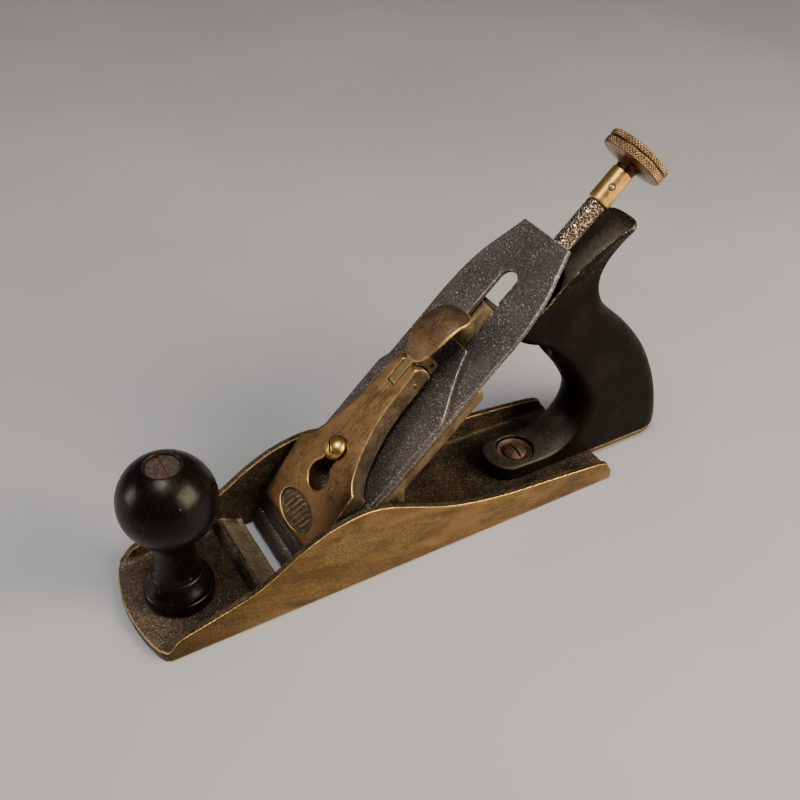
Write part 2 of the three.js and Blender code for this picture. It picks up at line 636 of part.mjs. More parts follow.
function thumbLeaf() {
  const thickness = 2.2, edgeInset = 0.35;
  const count = 9;                 // points across each face
  const perRow = 2 * count;
  const last = leafStations.length - 1;
  const positions = [];
  leafStations.forEach(([along, off, halfWidth, drop], i) => {
    const before = leafStations[Math.max(i - 1, 0)];
    const after = leafStations[Math.min(i + 1, last)];
    const run = after[0] - before[0];
    const rise = after[1] - before[1];
    const length = Math.hypot(run, rise);
    const [normalAlong, normalOff] = [-rise / length, run / length];
    for (const lower of [false, true]) {
      for (let k = 0; k < count; k++) {
        const step = 2 * k / (count - 1);
        const u = lower ? 1 - step : -1 + step;
        const inset = Math.abs(u) > 0.99 ? edgeInset : 0;
        const shift = -drop * u * u - (lower ? thickness - inset : inset);
        positions.push(
          ...bedPoint(along + normalAlong * shift, off + normalOff * shift, halfWidth * u),
        );
      }
    }
  });
  const triangles = joinRows(leafStations.length, perRow);
  const end = last * perRow;
  for (let k = 0; k < count - 1; k++) {
    const facing = perRow - 1 - k;
    triangles.push(k, facing, k + 1, k + 1, facing, facing - 1);
    triangles.push(end + k, end + k + 1, end + facing);
    triangles.push(end + k + 1, end + facing - 1, end + facing);
  }
  return meshSolid(positions, triangles);
}

function camLever() {
  const tongueHalf = 2.35;         // the part between the lever cap's ears
  const root = [
    [111, 4.2], [112.4, 3.2], [116.6, 3.4], [117.4, 5.2],
    [117.2, 9.4], [118.4, 14.6], [111, 13.9],
  ];
  const neck = [[104, 6.2], [113.6, 5.2], [115.5, 14.0], [113.2, 14.8], [104, 14.8]];
  const earClearance = bedSide(camDisc(8.7, 48), -12, 12);
  const wide = cut(fuse(thumbLeaf(), bedSide(root, -4.9, 4.9)), earClearance);
  const hub = bedSide(camDisc(6.65, 40), -tongueHalf, tongueHalf)
    .intersect(bedPlan(rect(90, 120, -3, 3), 0, 14.8));
  return cut(
    fuse(wide, hub, bedSide(neck, -tongueHalf, tongueHalf)),
    rod(CAM_HOLE_R, -12, 12, 16, CAM_AXIS),
    rod(0.9, -12, 12, 12, acrossBed(114.9, 6.6)),
  );
}

// ---------------------------------------------------------------- assembly
const group = new THREE.Group();
group.name = 'bench_smoothing_plane';
function add(name, manifold, material) {
  const { vertProperties, triVerts } = manifold.getMesh();
  const geometry = new THREE.BufferGeometry();
  geometry.setAttribute('position', new THREE.BufferAttribute(vertProperties, 3));
  geometry.setIndex(Array.from(triVerts));
  const mesh = new THREE.Mesh(toCreasedNormals(geometry, 0.6), material);
  mesh.name = name;
  group.add(mesh);
}

const { bronze, cap, brass, steel, bright, ebony, rust } = materials;
add('plane_body', planeBody(), bronze);
add('frog', frog(), bronze);
add('frog_screw_near', frogScrew(-1), steel);
add('frog_screw_far', frogScrew(1), steel);
add('adjuster_keeper_plate', keeperPlate(), bronze);
add('keeper_screw_upper', keeperScrew(KEEPER_SCREWS.upper), steel);
add('keeper_screw_lower', keeperScrew(KEEPER_SCREWS.lower), steel);
add('front_knob', frontKnob(), ebony);
add('knob_bolt', knobBolt(), rust);
add('tote', tote(), materials.tote);
add('tote_screw_washer', toteWasher(), rust);
add('tote_screw', toteScrew(), rust);
add('tote_tail_screw', toteTailScrew(), steel);
add('cutting_iron', cuttingIron(), steel);
add('cap_iron', capIron(), steel);
add('cap_iron_screw', capIronScrew(), steel);
add('adjuster_traveller', adjusterTraveller(), bronze);
add('adjuster_rod', adjusterRod(), steel);
add('adjuster_knob', adjusterKnob(), brass);
add('adjuster_pin', rod(1.0, -4.9, 4.9, 14, PIN_AXIS), bright);
add('lever_cap', leverCap(), cap);
add('cam_pin', rod(1.55, -7.5, 7.5, 16, CAM_AXIS), brass);
add('lever_cap_screw', leverCapScrew(), brass);
add('cam_lever', camLever(), cap);

export default group;
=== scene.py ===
"""A bronze hand plane: cast body, frog, cutting iron and cap iron under a lever cap, wooden
tote and knob, and a wheel adjuster.

Shapes are in mm and become metres in build(). The sole lies on z = 0, the toe and knob point
to -x, the heel and tote to +x, and y runs across. The bed rises at 45 degrees towards +x.
The bed frame used for the irons and lever cap is (along the bed, y, off the bed).
"""
import math
from functools import reduce
from itertools import combinations

import bpy
import numpy as np
from mathutils import Matrix, Vector


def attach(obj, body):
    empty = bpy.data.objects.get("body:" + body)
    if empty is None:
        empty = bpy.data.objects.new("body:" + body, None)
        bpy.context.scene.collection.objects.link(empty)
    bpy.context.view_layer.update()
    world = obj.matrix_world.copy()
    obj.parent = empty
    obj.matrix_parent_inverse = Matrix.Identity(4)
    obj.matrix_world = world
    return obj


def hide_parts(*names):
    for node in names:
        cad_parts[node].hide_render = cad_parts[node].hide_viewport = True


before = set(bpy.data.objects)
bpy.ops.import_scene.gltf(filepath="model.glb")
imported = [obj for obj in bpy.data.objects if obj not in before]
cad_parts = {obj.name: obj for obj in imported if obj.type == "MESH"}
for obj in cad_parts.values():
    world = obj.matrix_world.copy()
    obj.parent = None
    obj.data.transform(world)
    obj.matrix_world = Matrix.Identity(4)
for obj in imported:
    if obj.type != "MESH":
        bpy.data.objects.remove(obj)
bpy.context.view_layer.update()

# ---------------------------------------------------------------- driving dimensions, mm
DIAG = math.sqrt(0.5)                     # sine and cosine of the bed angle
BED_X = -55.36                            # where the bed line meets the sole plane
HALF_WIDTH, INNER_HALF = 29.25, 26.05     # body sides: outer face, inner face
FLOOR_TOP, HEEL_X = 4.4, 117.6
IRON_THICK, EDGE_ALONG = 2.35, 5.2        # cutting iron and its edge, bed frame
BED_OFF, ROD_OFF, ROD_RADIUS = -2.45, -11.9, 4.3
CAP_SCREW_ALONG = 62.5
PIVOT_ALONG, PIVOT_OFF = 104.0, 9.5       # cam pivot, bed frame
KNOB_X, BALL_Z, BALL_RADIUS = -94.8, 58.0, 19.9
TOTE_SCREW_X = 78.0


def bed_xz(along, off):
    """x and z of a place in the bed frame"""
    return BED_X + along * DIAG - off * DIAG, along * DIAG + off * DIAG


def on_bed(points):
    along, y, off = np.asarray(points, float).T
    x, z = bed_xz(along, off)
    return np.stack([x, y, z], 1)


# ---------------------------------------------------------------- distance fields
def clamp(value):
    return np.clip(value, 0, 1)


def curve(stations, steps):
    """Catmull-Rom curve through the stations, with this many steps per span"""
    stations = np.array(stations, float)
    last = len(stations) - 1
    out = []
    for i in range(last):
        before, start, end, after = (stations[min(max(j, 0), last)] for j in range(i - 1, i + 3))
        for k in range(steps):
            part = k / steps
            out.append(0.5 * (2 * start + (end - before) * part
                              + (2 * before - 5 * start + 4 * end - after) * part * part
                              + (3 * start - before - 3 * end + after) * part ** 3))
    out.append(stations[-1])
    return np.array(out)


def mirrored(half):
    """closed outline from the +y half of a symmetric one"""
    half = np.array(half, float)
    return np.concatenate([half * (1, -1), half[::-1]])


def outline(x, y, corners):
    """signed distance to a closed polygon, negative inside"""
    x, y = np.broadcast_arrays(x, y)
    nearest, inside = np.full(x.shape, 1e18), np.zeros(x.shape, bool)
    corners = np.asarray(corners, float)
    for (x0, y0), (x1, y1) in zip(corners, np.roll(corners, -1, 0)):
        dx, dy = x1 - x0, y1 - y0
        length2 = dx * dx + dy * dy
        if length2 < 1e-12:
            continue
        from_x, from_y = x - x0, y - y0
        part = np.clip((from_x * dx + from_y * dy) / length2, 0, 1)
        nearest = np.minimum(nearest, (from_x - part * dx) ** 2 + (from_y - part * dy) ** 2)
        if y1 != y0:
            inside ^= ((y0 > y) != (y1 > y)) & (x < dx * (y - y0) / dy + x0)
    distance = np.sqrt(nearest)
    return np.where(inside, -distance, distance)


def meet(one, two, radius=0.0):
    """what two solids share, its edge rounded"""
    if radius <= 0:
        return np.maximum(one, two)
    over1, over2 = np.maximum(one + radius, 0), np.maximum(two + radius, 0)
    return np.minimum(-radius, np.maximum(one, two)) + np.sqrt(over1 * over1 + over2 * over2)


def join(one, two, radius=0.0):
    """two solids together, the corner between them filled"""
    return -meet(-one, -two, radius)


def pill(x, y, first, last, radius):
    """slot along x between two end centres"""
    return np.hypot(x - np.clip(x, first, last), y) - radius


class Grid:
    """Sample points of a box, as three axes that broadcast together"""

    def __init__(self, low, high, step):
        self.low, self.step = np.array(low, float), np.full(3, step, float)
        axes = [np.arange(start, end + gap, gap) for start, end, gap in zip(low, high, self.step)]
        self.axes = np.ix_(*axes)
        self.shape = tuple(map(len, axes))

    def plan(self, corners):
        """outline in the first two axes"""
        x, y, _ = self.axes
        return outline(x[:, :, 0], y[:, :, 0], corners)[:, :, None]

    def side(self, corners):
        """outline in the first and third axes"""
        x, _, z = self.axes
        return outline(x[:, 0], z[0], corners)[:, None]


# ---------------------------------------------------------------- meshes
CORNERS = [(i & 1, i >> 1 & 1, i >> 2) for i in range(8)]
CUBE_EDGES = [(start, end) for start, end in combinations(CORNERS, 2)
              if sum(i != j for i, j in zip(start, end)) == 1]


def interpolate(table, cell, part):
    """value between the eight entries around each place; the table repeats"""
    total = 0
    for corner in CORNERS:
        weight = np.where(corner, part, 1 - part).prod(1)
        total = total + weight * table[tuple(((cell + corner) % table.shape).T)]
    return total


def surface(field, grid, relax=2, wear_reach=0.7):
    """Quad mesh of the zero level, one vertex in each cell it crosses.

    Returns vertices, faces, edge wear and cavity attributes, and normals.
    """
    field = np.broadcast_to(field, grid.shape).astype(np.float32)
    solid = field < 0
    nx, ny, nz = (size - 1 for size in grid.shape)
    count = np.zeros((nx, ny, nz), np.int8)
    for i, j, k in CORNERS:
        count += solid[i:i + nx, j:j + ny, k:k + nz]
    crossed = (count > 0) & (count < 8)
    cells = np.argwhere(crossed)
    index = np.full(crossed.shape, -1, np.int64)
    index[crossed] = np.arange(len(cells))

    # each vertex is the mean of the crossings on its cell's edges
    total, hits = np.zeros((len(cells), 3)), np.zeros(len(cells))
    for start, end in CUBE_EDGES:
        value0, value1 = (field[tuple((cells + c).T)].astype(float) for c in (start, end))
        cross = (value0 < 0) != (value1 < 0)
        part = np.where(cross, value0 / np.where(cross, value0 - value1, 1), 0)
        total[cross] += (np.array(start) + np.subtract(end, start) * part[:, None])[cross]
        hits += cross
    verts = (total / hits[:, None] + cells) * grid.step + grid.low

    # one quad around every grid edge that changes sign
    faces = []
    unit = np.eye(3, dtype=int)
    for axis in range(3):
        near, far = [slice(1, -1)] * 3, [slice(1, -1)] * 3
        near[axis], far[axis] = slice(None, -1), slice(1, None)
        ends = np.argwhere(solid[tuple(near)] != solid[tuple(far)]) + 1 - unit[axis]
        back1, back2 = -unit[(axis + 1) % 3], -unit[(axis + 2) % 3]
        around = (back1 + back2, back2, 0 * back1, back1)
        quads = np.stack([index[tuple((ends + shift).T)] for shift in around], 1)
        flip = ~solid[tuple(ends.T)]
        quads[flip] = quads[flip][:, ::-1]
        faces.append(quads)
    faces = np.concatenate(faces)
    faces = faces[(faces >= 0).all(1)]

    for _ in range(relax):
        total, links = np.zeros_like(verts), np.zeros(len(verts))
        for i, j in ((0, 1), (1, 0), (1, 2), (2, 1), (2, 3), (3, 2), (3, 0), (0, 3)):
            for k in range(3):
                total[:, k] += np.bincount(faces[:, i], verts[faces[:, j], k], len(verts))
            links += np.bincount(faces[:, i], minlength=len(verts))
        verts = verts + 0.5 * (total / np.maximum(links, 1)[:, None] - verts)

    top = np.array(field.shape) - 1.001

    def sample(points):
        place = np.clip((points - grid.low) / grid.step, 0, top)
        cell = place.astype(int)
        return interpolate(field, cell, place - cell)

    def bend(reach):
        here = sample(verts)
        return sum(sample(verts + step) + sample(verts - step) - 2 * here
                   for step in reach * np.eye(3)) / (2 * reach)

    slope = np.stack([sample(verts + step) - sample(verts - step)
                      for step in np.diag(grid.step)], 1) / grid.step
    normals = slope / np.maximum(np.linalg.norm(slope, axis=1), 1e-6)[:, None]
    return verts, faces, {"wear": bend(wear_reach), "cav": bend(3.2)}, normals


def lumps(points, size, seed, height, middle=0.5):
    """smooth random height with features of the given size"""
    table = np.random.RandomState(seed).rand(32, 32, 32)
    place = points / size + 100.0
    cell = np.floor(place).astype(int)
    part = place - cell
    return (interpolate(table, cell, part * part * (3 - 2 * part)) - middle) * height


def build(name, verts, faces, material, body, slot, node=None, attrs={}):
    """object from mm vertices, riding on a body and standing in for a CAD node"""
    mesh = bpy.data.meshes.new(name)
    mesh.from_pydata((verts / 1000).tolist(), [], [list(map(int, face)) for face in faces])
    mesh.polygons.foreach_set("use_smooth", [True] * len(mesh.polygons))
    for key, values in attrs.items():
        layer = mesh.attributes.new(key, "FLOAT", "POINT")
        layer.data.foreach_set("value", np.asarray(values, np.float32))
    mesh.update()
    obj = bpy.data.objects.new(name, mesh)
    bpy.context.scene.collection.objects.link(obj)
    mesh.materials.append(material)
    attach(obj, body)
    if node:
        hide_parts(node)


def lathe(profile, count, turn_frame, shape=None):
    """Turned mesh from (radius, height) stations; radius 0 makes a pole.

    turn_frame is two cross directions, the axis and the origin. shape(radius, height, angles)
    may vary the radius round a ring.
    """
    cross1, cross2, axis, origin = (np.asarray(part, float) for part in turn_frame)
    verts, rings, faces = [], [], []
    angles = np.arange(count) * 2 * math.pi / count
    for radius, height in profile:
        first, centre = len(verts), origin + axis * height
        if radius <= 1e-9:
            rings.append([first])
            verts.append(centre)
            continue
        radii = shape(radius, height, angles) if shape else np.full(count, radius)
        rings.append(range(first, first + count))
        verts.extend(centre + reach * (cross1 * math.cos(angle) + cross2 * math.sin(angle))
                     for reach, angle in zip(radii, angles))
    for low, high in zip(rings, rings[1:]):
        for i in range(count):
            j = (i + 1) % count
            if len(low) == 1:
                faces.append([low[0], high[j], high[i]])
            elif len(high) == 1:
                faces.append([low[i], low[j], high[0]])
            else:
                faces.append([low[i], low[j], high[j], high[i]])
    return np.array(verts), faces


def soft_profile(points, radius, steps=3):
    """rounds the corners of an open profile"""
    points = [np.asarray(point, float) for point in points]
    out = [points[0]]
    for before, corner, after in zip(points, points[1:], points[2:]):
        back, ahead = before - corner, after - corner
        back_len, ahead_len = np.linalg.norm(back), np.linalg.norm(ahead)
        if np.dot(back, ahead) / (back_len * ahead_len + 1e-12) < -0.94:
            out.append(corner)
            continue
        cut = min(radius, back_len * 0.45, ahead_len * 0.45)
        start, end = corner + back / back_len * cut, corner + ahead / ahead_len * cut
        for k in range(steps + 1):
            part = k / steps
            out.append((1 - part) ** 2 * start + 2 * part * (1 - part) * corner
                       + part * part * end)
    return out + [points[-1]]


# ---------------------------------------------------------------- material tools
class Mat:
    """One Principled material. Masks run from 0 to 1, and patterns are sized in mm."""

    def __init__(self, name):
        self.material = bpy.data.materials.new(name)
        self.material.use_nodes = True
        self.tree = self.material.node_tree
        self.tree.nodes.clear()
        output = self.tree.nodes.new("ShaderNodeOutputMaterial")
        self.shader = self.tree.nodes.new("ShaderNodeBsdfPrincipled")
        self.tree.links.new(self.shader.outputs[0], output.inputs[0])
        self.place = self.node("TexCoord", {}, "Object")

    def put(self, socket, value):
        if isinstance(value, bpy.types.NodeSocket):
            self.tree.links.new(value, socket)
        elif isinstance(value, tuple) and socket.type == "RGBA":
            socket.default_value = (*value, 1)
        else:
            socket.default_value = value

    def node(self, kind, inputs, output=0, **settings):
        node = self.tree.nodes.new("ShaderNode" + kind)
        for key, value in settings.items():
            setattr(node, key, value)
        for key, value in inputs.items():
            self.put(node.inputs[key], value)
        return node.outputs[output]

    def noise(self, mm, detail=3, rough=0.7, tilt=0, turn=None, stretch=None, bend=0.0):
        """noise, turned by tilt degrees about y or by the radians in turn, then stretched"""
        place = self.place
        if tilt:
            turn = (0, math.radians(tilt), 0)
        if turn or stretch:
            place = self.node("Mapping", {"Vector": place, "Rotation": turn or (0, 0, 0)})
            place = self.node("Mapping", {"Vector": place, "Scale": stretch or (1, 1, 1)})
        return self.node("TexNoise", {"Vector": place, "Scale": 1000.0 / mm, "Detail": detail,
                                      "Roughness": rough, "Distortion": bend})

    def cells(self, mm):
        return self.node("TexVoronoi", {"Vector": self.place, "Scale": 1000.0 / mm})

    def attr(self, name):
        return self.node("Attribute", {}, "Fac", attribute_name=name)

    def ramp(self, at, to=(0, 1), of=None, **noise):
        """smooth step across the range `at` of a value, or else of a noise"""
        value = self.noise(**noise) if of is None else of
        return self.node("MapRange", {"Value": value, "From Min": at[0], "From Max": at[1],
                                      "To Min": to[0], "To Max": to[1]},
                         interpolation_type="SMOOTHSTEP")

    def calc(self, operation, one, two):
        return self.node("Math", {0: one, 1: two}, operation=operation)

    def times(self, *factors):
        return reduce(lambda one, two: self.calc("MULTIPLY", one, two), factors)

    def pick(self, mask, off, on):
        """number that goes from off to on with the mask"""
        return self.node("Mix", {0: mask, 2: off, 3: on})

    def coat(self, base, color, by=None, amount=None, **ramp):
        """lays a colour over the base where the mask `by`, or else a ramp, is high"""
        mask = self.ramp(**ramp) if by is None else by
        if amount is not None:
            mask = self.times(mask, amount)
        return self.node("Mix", {0: mask, 6: base, 7: color}, 2, data_type="RGBA")

    def dim(self, color, by):
        return self.node("VectorMath", {0: color, "Scale": by}, operation="SCALE")

    def relief(self, *layers):
        """stacked bumps; a layer is (height, strength, depth in mm)"""
        normal = None
        for height, strength, depth in layers:
            inputs = {"Strength": strength, "Distance": depth / 1000, "Height": height}
            if normal is not None:
                inputs["Normal"] = normal
            normal = self.node("Bump", inputs)
        return normal

    def finish(self, color, rough, relief, metal=1.0, specular=None, tint=None):
        for key, value in {"Base Color": color, "Roughness": rough, "Metallic": metal,
                           "Normal": relief, "Specular IOR Level": specular,
                           "Specular Tint": tint}.items():
            if value is not None:
                self.put(self.shader.inputs[key], value)
        return self.material


# ---------------------------------------------------------------- materials
def bronze_body():
    """brushed gold outside, dark patina inside"""
    mat = Mat("cast_bronze_body")
    outer, wear, cavity, rim, slope, lit = map(
        mat.attr, ("outer", "wear", "cav", "toprim", "ramp", "lit"))
    grit = mat.noise(mm=0.55, detail=4, tilt=-14, stretch=(0.45, 1, 1))
    scratch = mat.noise(mm=0.8, rough=0.6, tilt=21, stretch=(0.07, 1, 1))
    streak = mat.noise(mm=2.2, detail=5, tilt=-17, stretch=(0.09, 1, 1), bend=0.5)
    cloud = mat.noise(mm=24, detail=4, rough=0.6, tilt=-12, stretch=(0.45, 1, 1.3), bend=0.7)
    small_cloud = mat.noise(mm=6.5, detail=4, rough=0.66, stretch=(0.7, 1, 1))
    band = mat.noise(mm=20, rough=0.55, tilt=-9, stretch=(0.26, 1, 1), bend=0.4)

    # outside: grit, light and dark streaks, stains, bands, pores, duller top rim, painted shade
    # dimming the side towards the toe
    gold = mat.coat((0.160, 0.088, 0.026), (0.375, 0.220, 0.072), of=grit, at=(0.36, 0.66))
    gold = mat.coat(gold, (0.50, 0.30, 0.105), of=streak, at=(0.50, 0.70), to=(0, 0.30))
    gold = mat.coat(gold, (0.105, 0.058, 0.019), of=streak, at=(0.32, 0.46), to=(0.22, 0))
    clouds = mat.calc("ADD", mat.times(cloud, 0.68), mat.times(small_cloud, 0.32))
    gold = mat.coat(gold, (0.105, 0.055, 0.020), of=clouds, at=(0.45, 0.60), amount=0.70)
    gold = mat.coat(gold, (0.47, 0.275, 0.092), of=band, at=(0.52, 0.64), to=(0, 0.42))
    gold = mat.coat(gold, (0.115, 0.060, 0.021), of=band, at=(0.36, 0.46), to=(0.40, 0))
    gold = mat.coat(gold, (0.062, 0.034, 0.012), at=(0.60, 0.74), to=(0, 0.55),
                    mm=1.5, detail=4, rough=0.75)
    gold = mat.coat(gold, (0.16, 0.098, 0.038), by=rim, amount=0.55)
    # painted shade: the outside grows darker towards the toe
    gold = mat.dim(gold, by=mat.pick(mat.attr("toe_shade"), off=1.0, on=0.51))

    # inside: mottling, light and dark specks, bright flecks, painted light on the floor inside
    # the toe and on the up-facing mouth ramp, darker concave corners
    patina = mat.coat((0.022, 0.0145, 0.0080), (0.070, 0.044, 0.021), at=(0.38, 0.64),
                      mm=13, detail=4, rough=0.65)
    # painted light: the floor inside the toe gets a lighter patina and more specks
    patina = mat.coat(patina, (0.105, 0.070, 0.042), by=mat.times(
        lit, mat.ramp(at=(0.34, 0.62), to=(0.45, 1), mm=9, detail=4)))
    speck = mat.times(mat.ramp(at=(0.52, 0.62), mm=0.9, rough=0.72),
                      mat.ramp(at=(0.36, 0.60), to=(0.35, 1), mm=6, detail=4))
    speckled = mat.pick(lit, off=0.45, on=0.9)
    patina = mat.coat(patina, (0.27, 0.185, 0.112), by=mat.times(speckled, speck))
    patina = mat.coat(patina, (0.012, 0.008, 0.006), by=mat.times(
        mat.pick(lit, off=0.45, on=0.9),
        mat.ramp(at=(0.36, 0.46), to=(1, 0), mm=1.15, rough=0.72, turn=(0.6, 0.2, 0.4))))
    patina = mat.coat(patina, (0.62, 0.47, 0.29), at=(0.655, 0.70), to=(0, 0.9),
                      mm=0.6, detail=2, rough=0.6)
    # painted light: the up-facing mouth ramp is coloured lighter, mottled
    patina = mat.coat(patina, (0.30, 0.225, 0.125), by=mat.times(
        slope, mat.ramp(at=(0.32, 0.62), to=(0.55, 0.95), mm=5, detail=4)))
    patina = mat.coat(patina, (0.08, 0.055, 0.03), by=mat.times(
        slope, mat.ramp(at=(0.40, 0.50), to=(0.6, 0), mm=0.9)))
    patina = mat.coat(patina, (0.012, 0.009, 0.006), of=cavity, at=(-0.55, -0.12), to=(1, 0),
                      amount=0.8)

    color = mat.coat(patina, gold, by=outer)
    worn = mat.times(mat.ramp(of=wear, at=(0.35, 0.66)),
                     mat.ramp(at=(0.36, 0.52), to=(0.30, 1), mm=5, detail=5))
    color = mat.coat(color, (0.64, 0.370, 0.110), by=worn)
    rough = mat.pick(outer, off=mat.ramp(at=(0.3, 0.7), to=(0.42, 0.66), mm=1.6, rough=0.55),
                     on=mat.ramp(of=streak, at=(0.35, 0.65), to=(0.40, 0.28)))
    rough = mat.pick(worn, off=rough, on=0.36)
    wave = mat.noise(mm=17, detail=2, rough=0.5, tilt=-20, stretch=(0.22, 1, 1), bend=0.4)
    # height, strength inside, strength outside, depth in mm
    bumps = (
        (scratch, 0.0, 1.0, 0.045),
        (streak, 0.0, 1.0, 0.06),
        (wave, 0.0, 1.0, 1.3),
        (grit, 0.3, 1.0, 0.05),
        (mat.noise(mm=0.8, detail=4), 1.0, 0.10, 0.30),
        (mat.noise(mm=3.5, rough=0.6), 1.0, 0.30, 0.30),
    )
    relief = mat.relief(*((mat.times(height, mat.pick(outer, off, on)), 1.0, depth)
                          for height, off, on, depth in bumps))
    return mat.finish(color, rough, relief, metal=mat.pick(outer, off=0.65, on=1.0))


def bronze_cap(name, shade=1.0, tint=(1, 1, 1), rough=(0.34, 0.46), grain=0.5, edge=1.0,
               wear_at=(0.36, 0.62)):
    """brushed top with pores and scratches, dark sides (on the cam lever also painted shade under
    the leaf), patina in the recess
    """
    mat = Mat(name)
    wear, side, recess, neck, tone = map(mat.attr, ("wear", "side", "recess", "neck", "tone"))
    brush = mat.noise(mm=0.9, detail=4, rough=0.65, tilt=45, stretch=(0.10, 1, 1))

    def toned(*color):
        return tuple(value * shade * part for value, part in zip(color, tint))

    top = mat.coat(toned(0.37, 0.205, 0.088), toned(0.205, 0.108, 0.046), at=(0.36, 0.66),
                   mm=13, detail=4, rough=0.62, bend=0.5)
    top = mat.coat(top, toned(0.48, 0.29, 0.135), of=brush, at=(0.44, 0.74), to=(0, 0.8))
    top = mat.coat(top, toned(0.50, 0.33, 0.18), at=(0.53, 0.64), to=(0, grain), mm=0.75)
    top = mat.coat(top, toned(0.10, 0.056, 0.026), at=(0.58, 0.70), to=(0, 0.7),
                   mm=0.8, detail=4, rough=0.75)
    top = mat.dim(top, by=mat.pick(tone, off=0.50, on=1.32))
    pores = mat.times(mat.ramp(of=mat.cells(mm=2.3), at=(0.10, 0.17), to=(1, 0)),
                      mat.ramp(at=(0.46, 0.54), mm=8, detail=2, rough=0.55))
    top = mat.coat(top, (0.025, 0.015, 0.009), by=pores)
    lines = mat.times(mat.ramp(at=(0.64, 0.67), mm=1.6, detail=2, rough=0.5,
                               turn=(0.3, math.pi / 4 + 0.9, 0.5), stretch=(0.10, 1, 1)),
                      mat.ramp(at=(0.52, 0.58), mm=19, detail=2, rough=0.55))
    top = mat.coat(top, (0.04, 0.024, 0.013), by=lines, amount=0.6)
    top = mat.coat(top, (0.34, 0.245, 0.125), by=neck, amount=0.85)

    dark = mat.coat((0.034, 0.022, 0.013), (0.074, 0.049, 0.028), at=(0.35, 0.65),
                    mm=5, detail=4, rough=0.65)
    dark = mat.coat(dark, (0.15, 0.100, 0.056), at=(0.56, 0.66), to=(0, 0.5), mm=0.9)
    dark = mat.dim(dark, by=mat.pick(tone, off=0.62, on=1.30))
    # dark sides; on the cam lever this also paints shade on the underside and the foot below the
    # leaf
    color = mat.coat(top, dark, by=side)
    patina = mat.coat((0.050, 0.045, 0.032), (0.135, 0.110, 0.076), at=(0.35, 0.65),
                      mm=1.8, rough=0.65)
    color = mat.coat(color, patina, by=recess)
    color = mat.coat(color, (0.022, 0.014, 0.009), of=mat.attr("cav"), at=(-0.5, -0.12),
                     to=(1, 0), amount=0.75)
    worn = mat.times(mat.ramp(of=wear, at=wear_at),
                     mat.ramp(at=(0.38, 0.54), to=(0.2, 1), mm=5, detail=5),
                     mat.pick(recess, off=edge, on=0.25), mat.pick(neck, off=1.0, on=0.4))
    color = mat.coat(color, (0.88, 0.50, 0.145), by=worn)

    rough = mat.ramp(at=(0.3, 0.7), to=rough, mm=4, rough=0.55)
    for mask, value in ((side, 0.55), (recess, 0.55), (worn, 0.34), (side, 0.66)):
        rough = mat.pick(mask, off=rough, on=value)
    dents = mat.calc("ADD", mat.times(pores, -1.0), mat.times(lines, -0.5))
    relief = mat.relief((brush, 0.5, 0.045), (mat.noise(mm=0.9, rough=0.65), 0.7, 0.07),
                        (dents, 0.6, 0.12))
    return mat.finish(color, rough, relief, metal=mat.pick(side, off=1.0, on=0.12),
                      specular=0.14)


def pitted_steel(name, low, high, speck_color, pit_mm, rough=(0.42, 0.66), amount=0.6):
    """steel between two tones, with bright specks, dark pits, worn edges and painted shade at the
    front end
    """
    mat = Mat(name)
    base = mat.coat(low, high, at=(0.36, 0.64), mm=19, detail=4, rough=0.6)
    pit = mat.noise(mm=pit_mm, detail=4)
    fine = mat.noise(mm=pit_mm * 0.62, detail=2, rough=0.6)
    worm = mat.noise(mm=pit_mm * 0.95, detail=2, rough=0.6, turn=(0.5, 0.3, 0.8), bend=1.1)
    speck = mat.calc("MAXIMUM", mat.ramp(of=fine, at=(0.635, 0.675)),
                     mat.ramp(of=worm, at=(0.635, 0.670)))
    speck = mat.times(speck, mat.ramp(at=(0.36, 0.60), to=(0.35, 1),
                                      mm=15, detail=4, rough=0.65))
    color = mat.coat(base, tuple(value * 1.9 for value in high), at=(0.50, 0.62),
                     to=(0, 0.45), mm=pit_mm * 0.8, turn=(0.2, 0.9, 0.1))
    color = mat.coat(color, speck_color, by=speck, amount=amount)
    color = mat.coat(color, (0.012, 0.009, 0.008), of=pit, at=(0.36, 0.46), to=(0.75, 0))
    worn = mat.times(mat.ramp(of=mat.attr("wear"), at=(0.36, 0.68)),
                     mat.ramp(at=(0.46, 0.55), to=(0.06, 1), mm=1.4, detail=4, rough=0.78))
    color = mat.coat(color, (0.70, 0.66, 0.62), by=worn)
    # painted shade: near black on the front end that lies in shade
    color = mat.coat(color, (0.020, 0.015, 0.012), by=mat.attr("front_shade"), amount=0.85)
    rough = mat.pick(speck, off=mat.ramp(of=fine, at=(0.3, 0.7), to=rough[::-1]), on=0.34)
    return mat.finish(color, mat.pick(worn, off=rough, on=0.34),
                      mat.relief((pit, 0.9, 0.12), (speck, 0.7, 0.05)), metal=0.9)


def rod_steel():
    """bright ridges between dark hollows"""
    mat = Mat("rod_steel")
    cell = mat.calc("ADD", mat.cells(mm=1.0), mat.times(mat.noise(mm=0.8), 0.9))
    ridge = mat.ramp(of=cell, at=(0.92, 1.12))
    color = mat.coat((0.070, 0.049, 0.035), (0.76, 0.56, 0.37), by=ridge)
    color = mat.coat(color, (0.02, 0.014, 0.010), at=(0.34, 0.44), to=(0.7, 0),
                     mm=0.7, detail=2, rough=0.6)
    relief = mat.relief((ridge, 1.0, 0.20), (mat.noise(mm=3.0, rough=0.6), 0.5, 0.2))
    return mat.finish(color, mat.pick(ridge, off=0.6, on=0.22), relief)


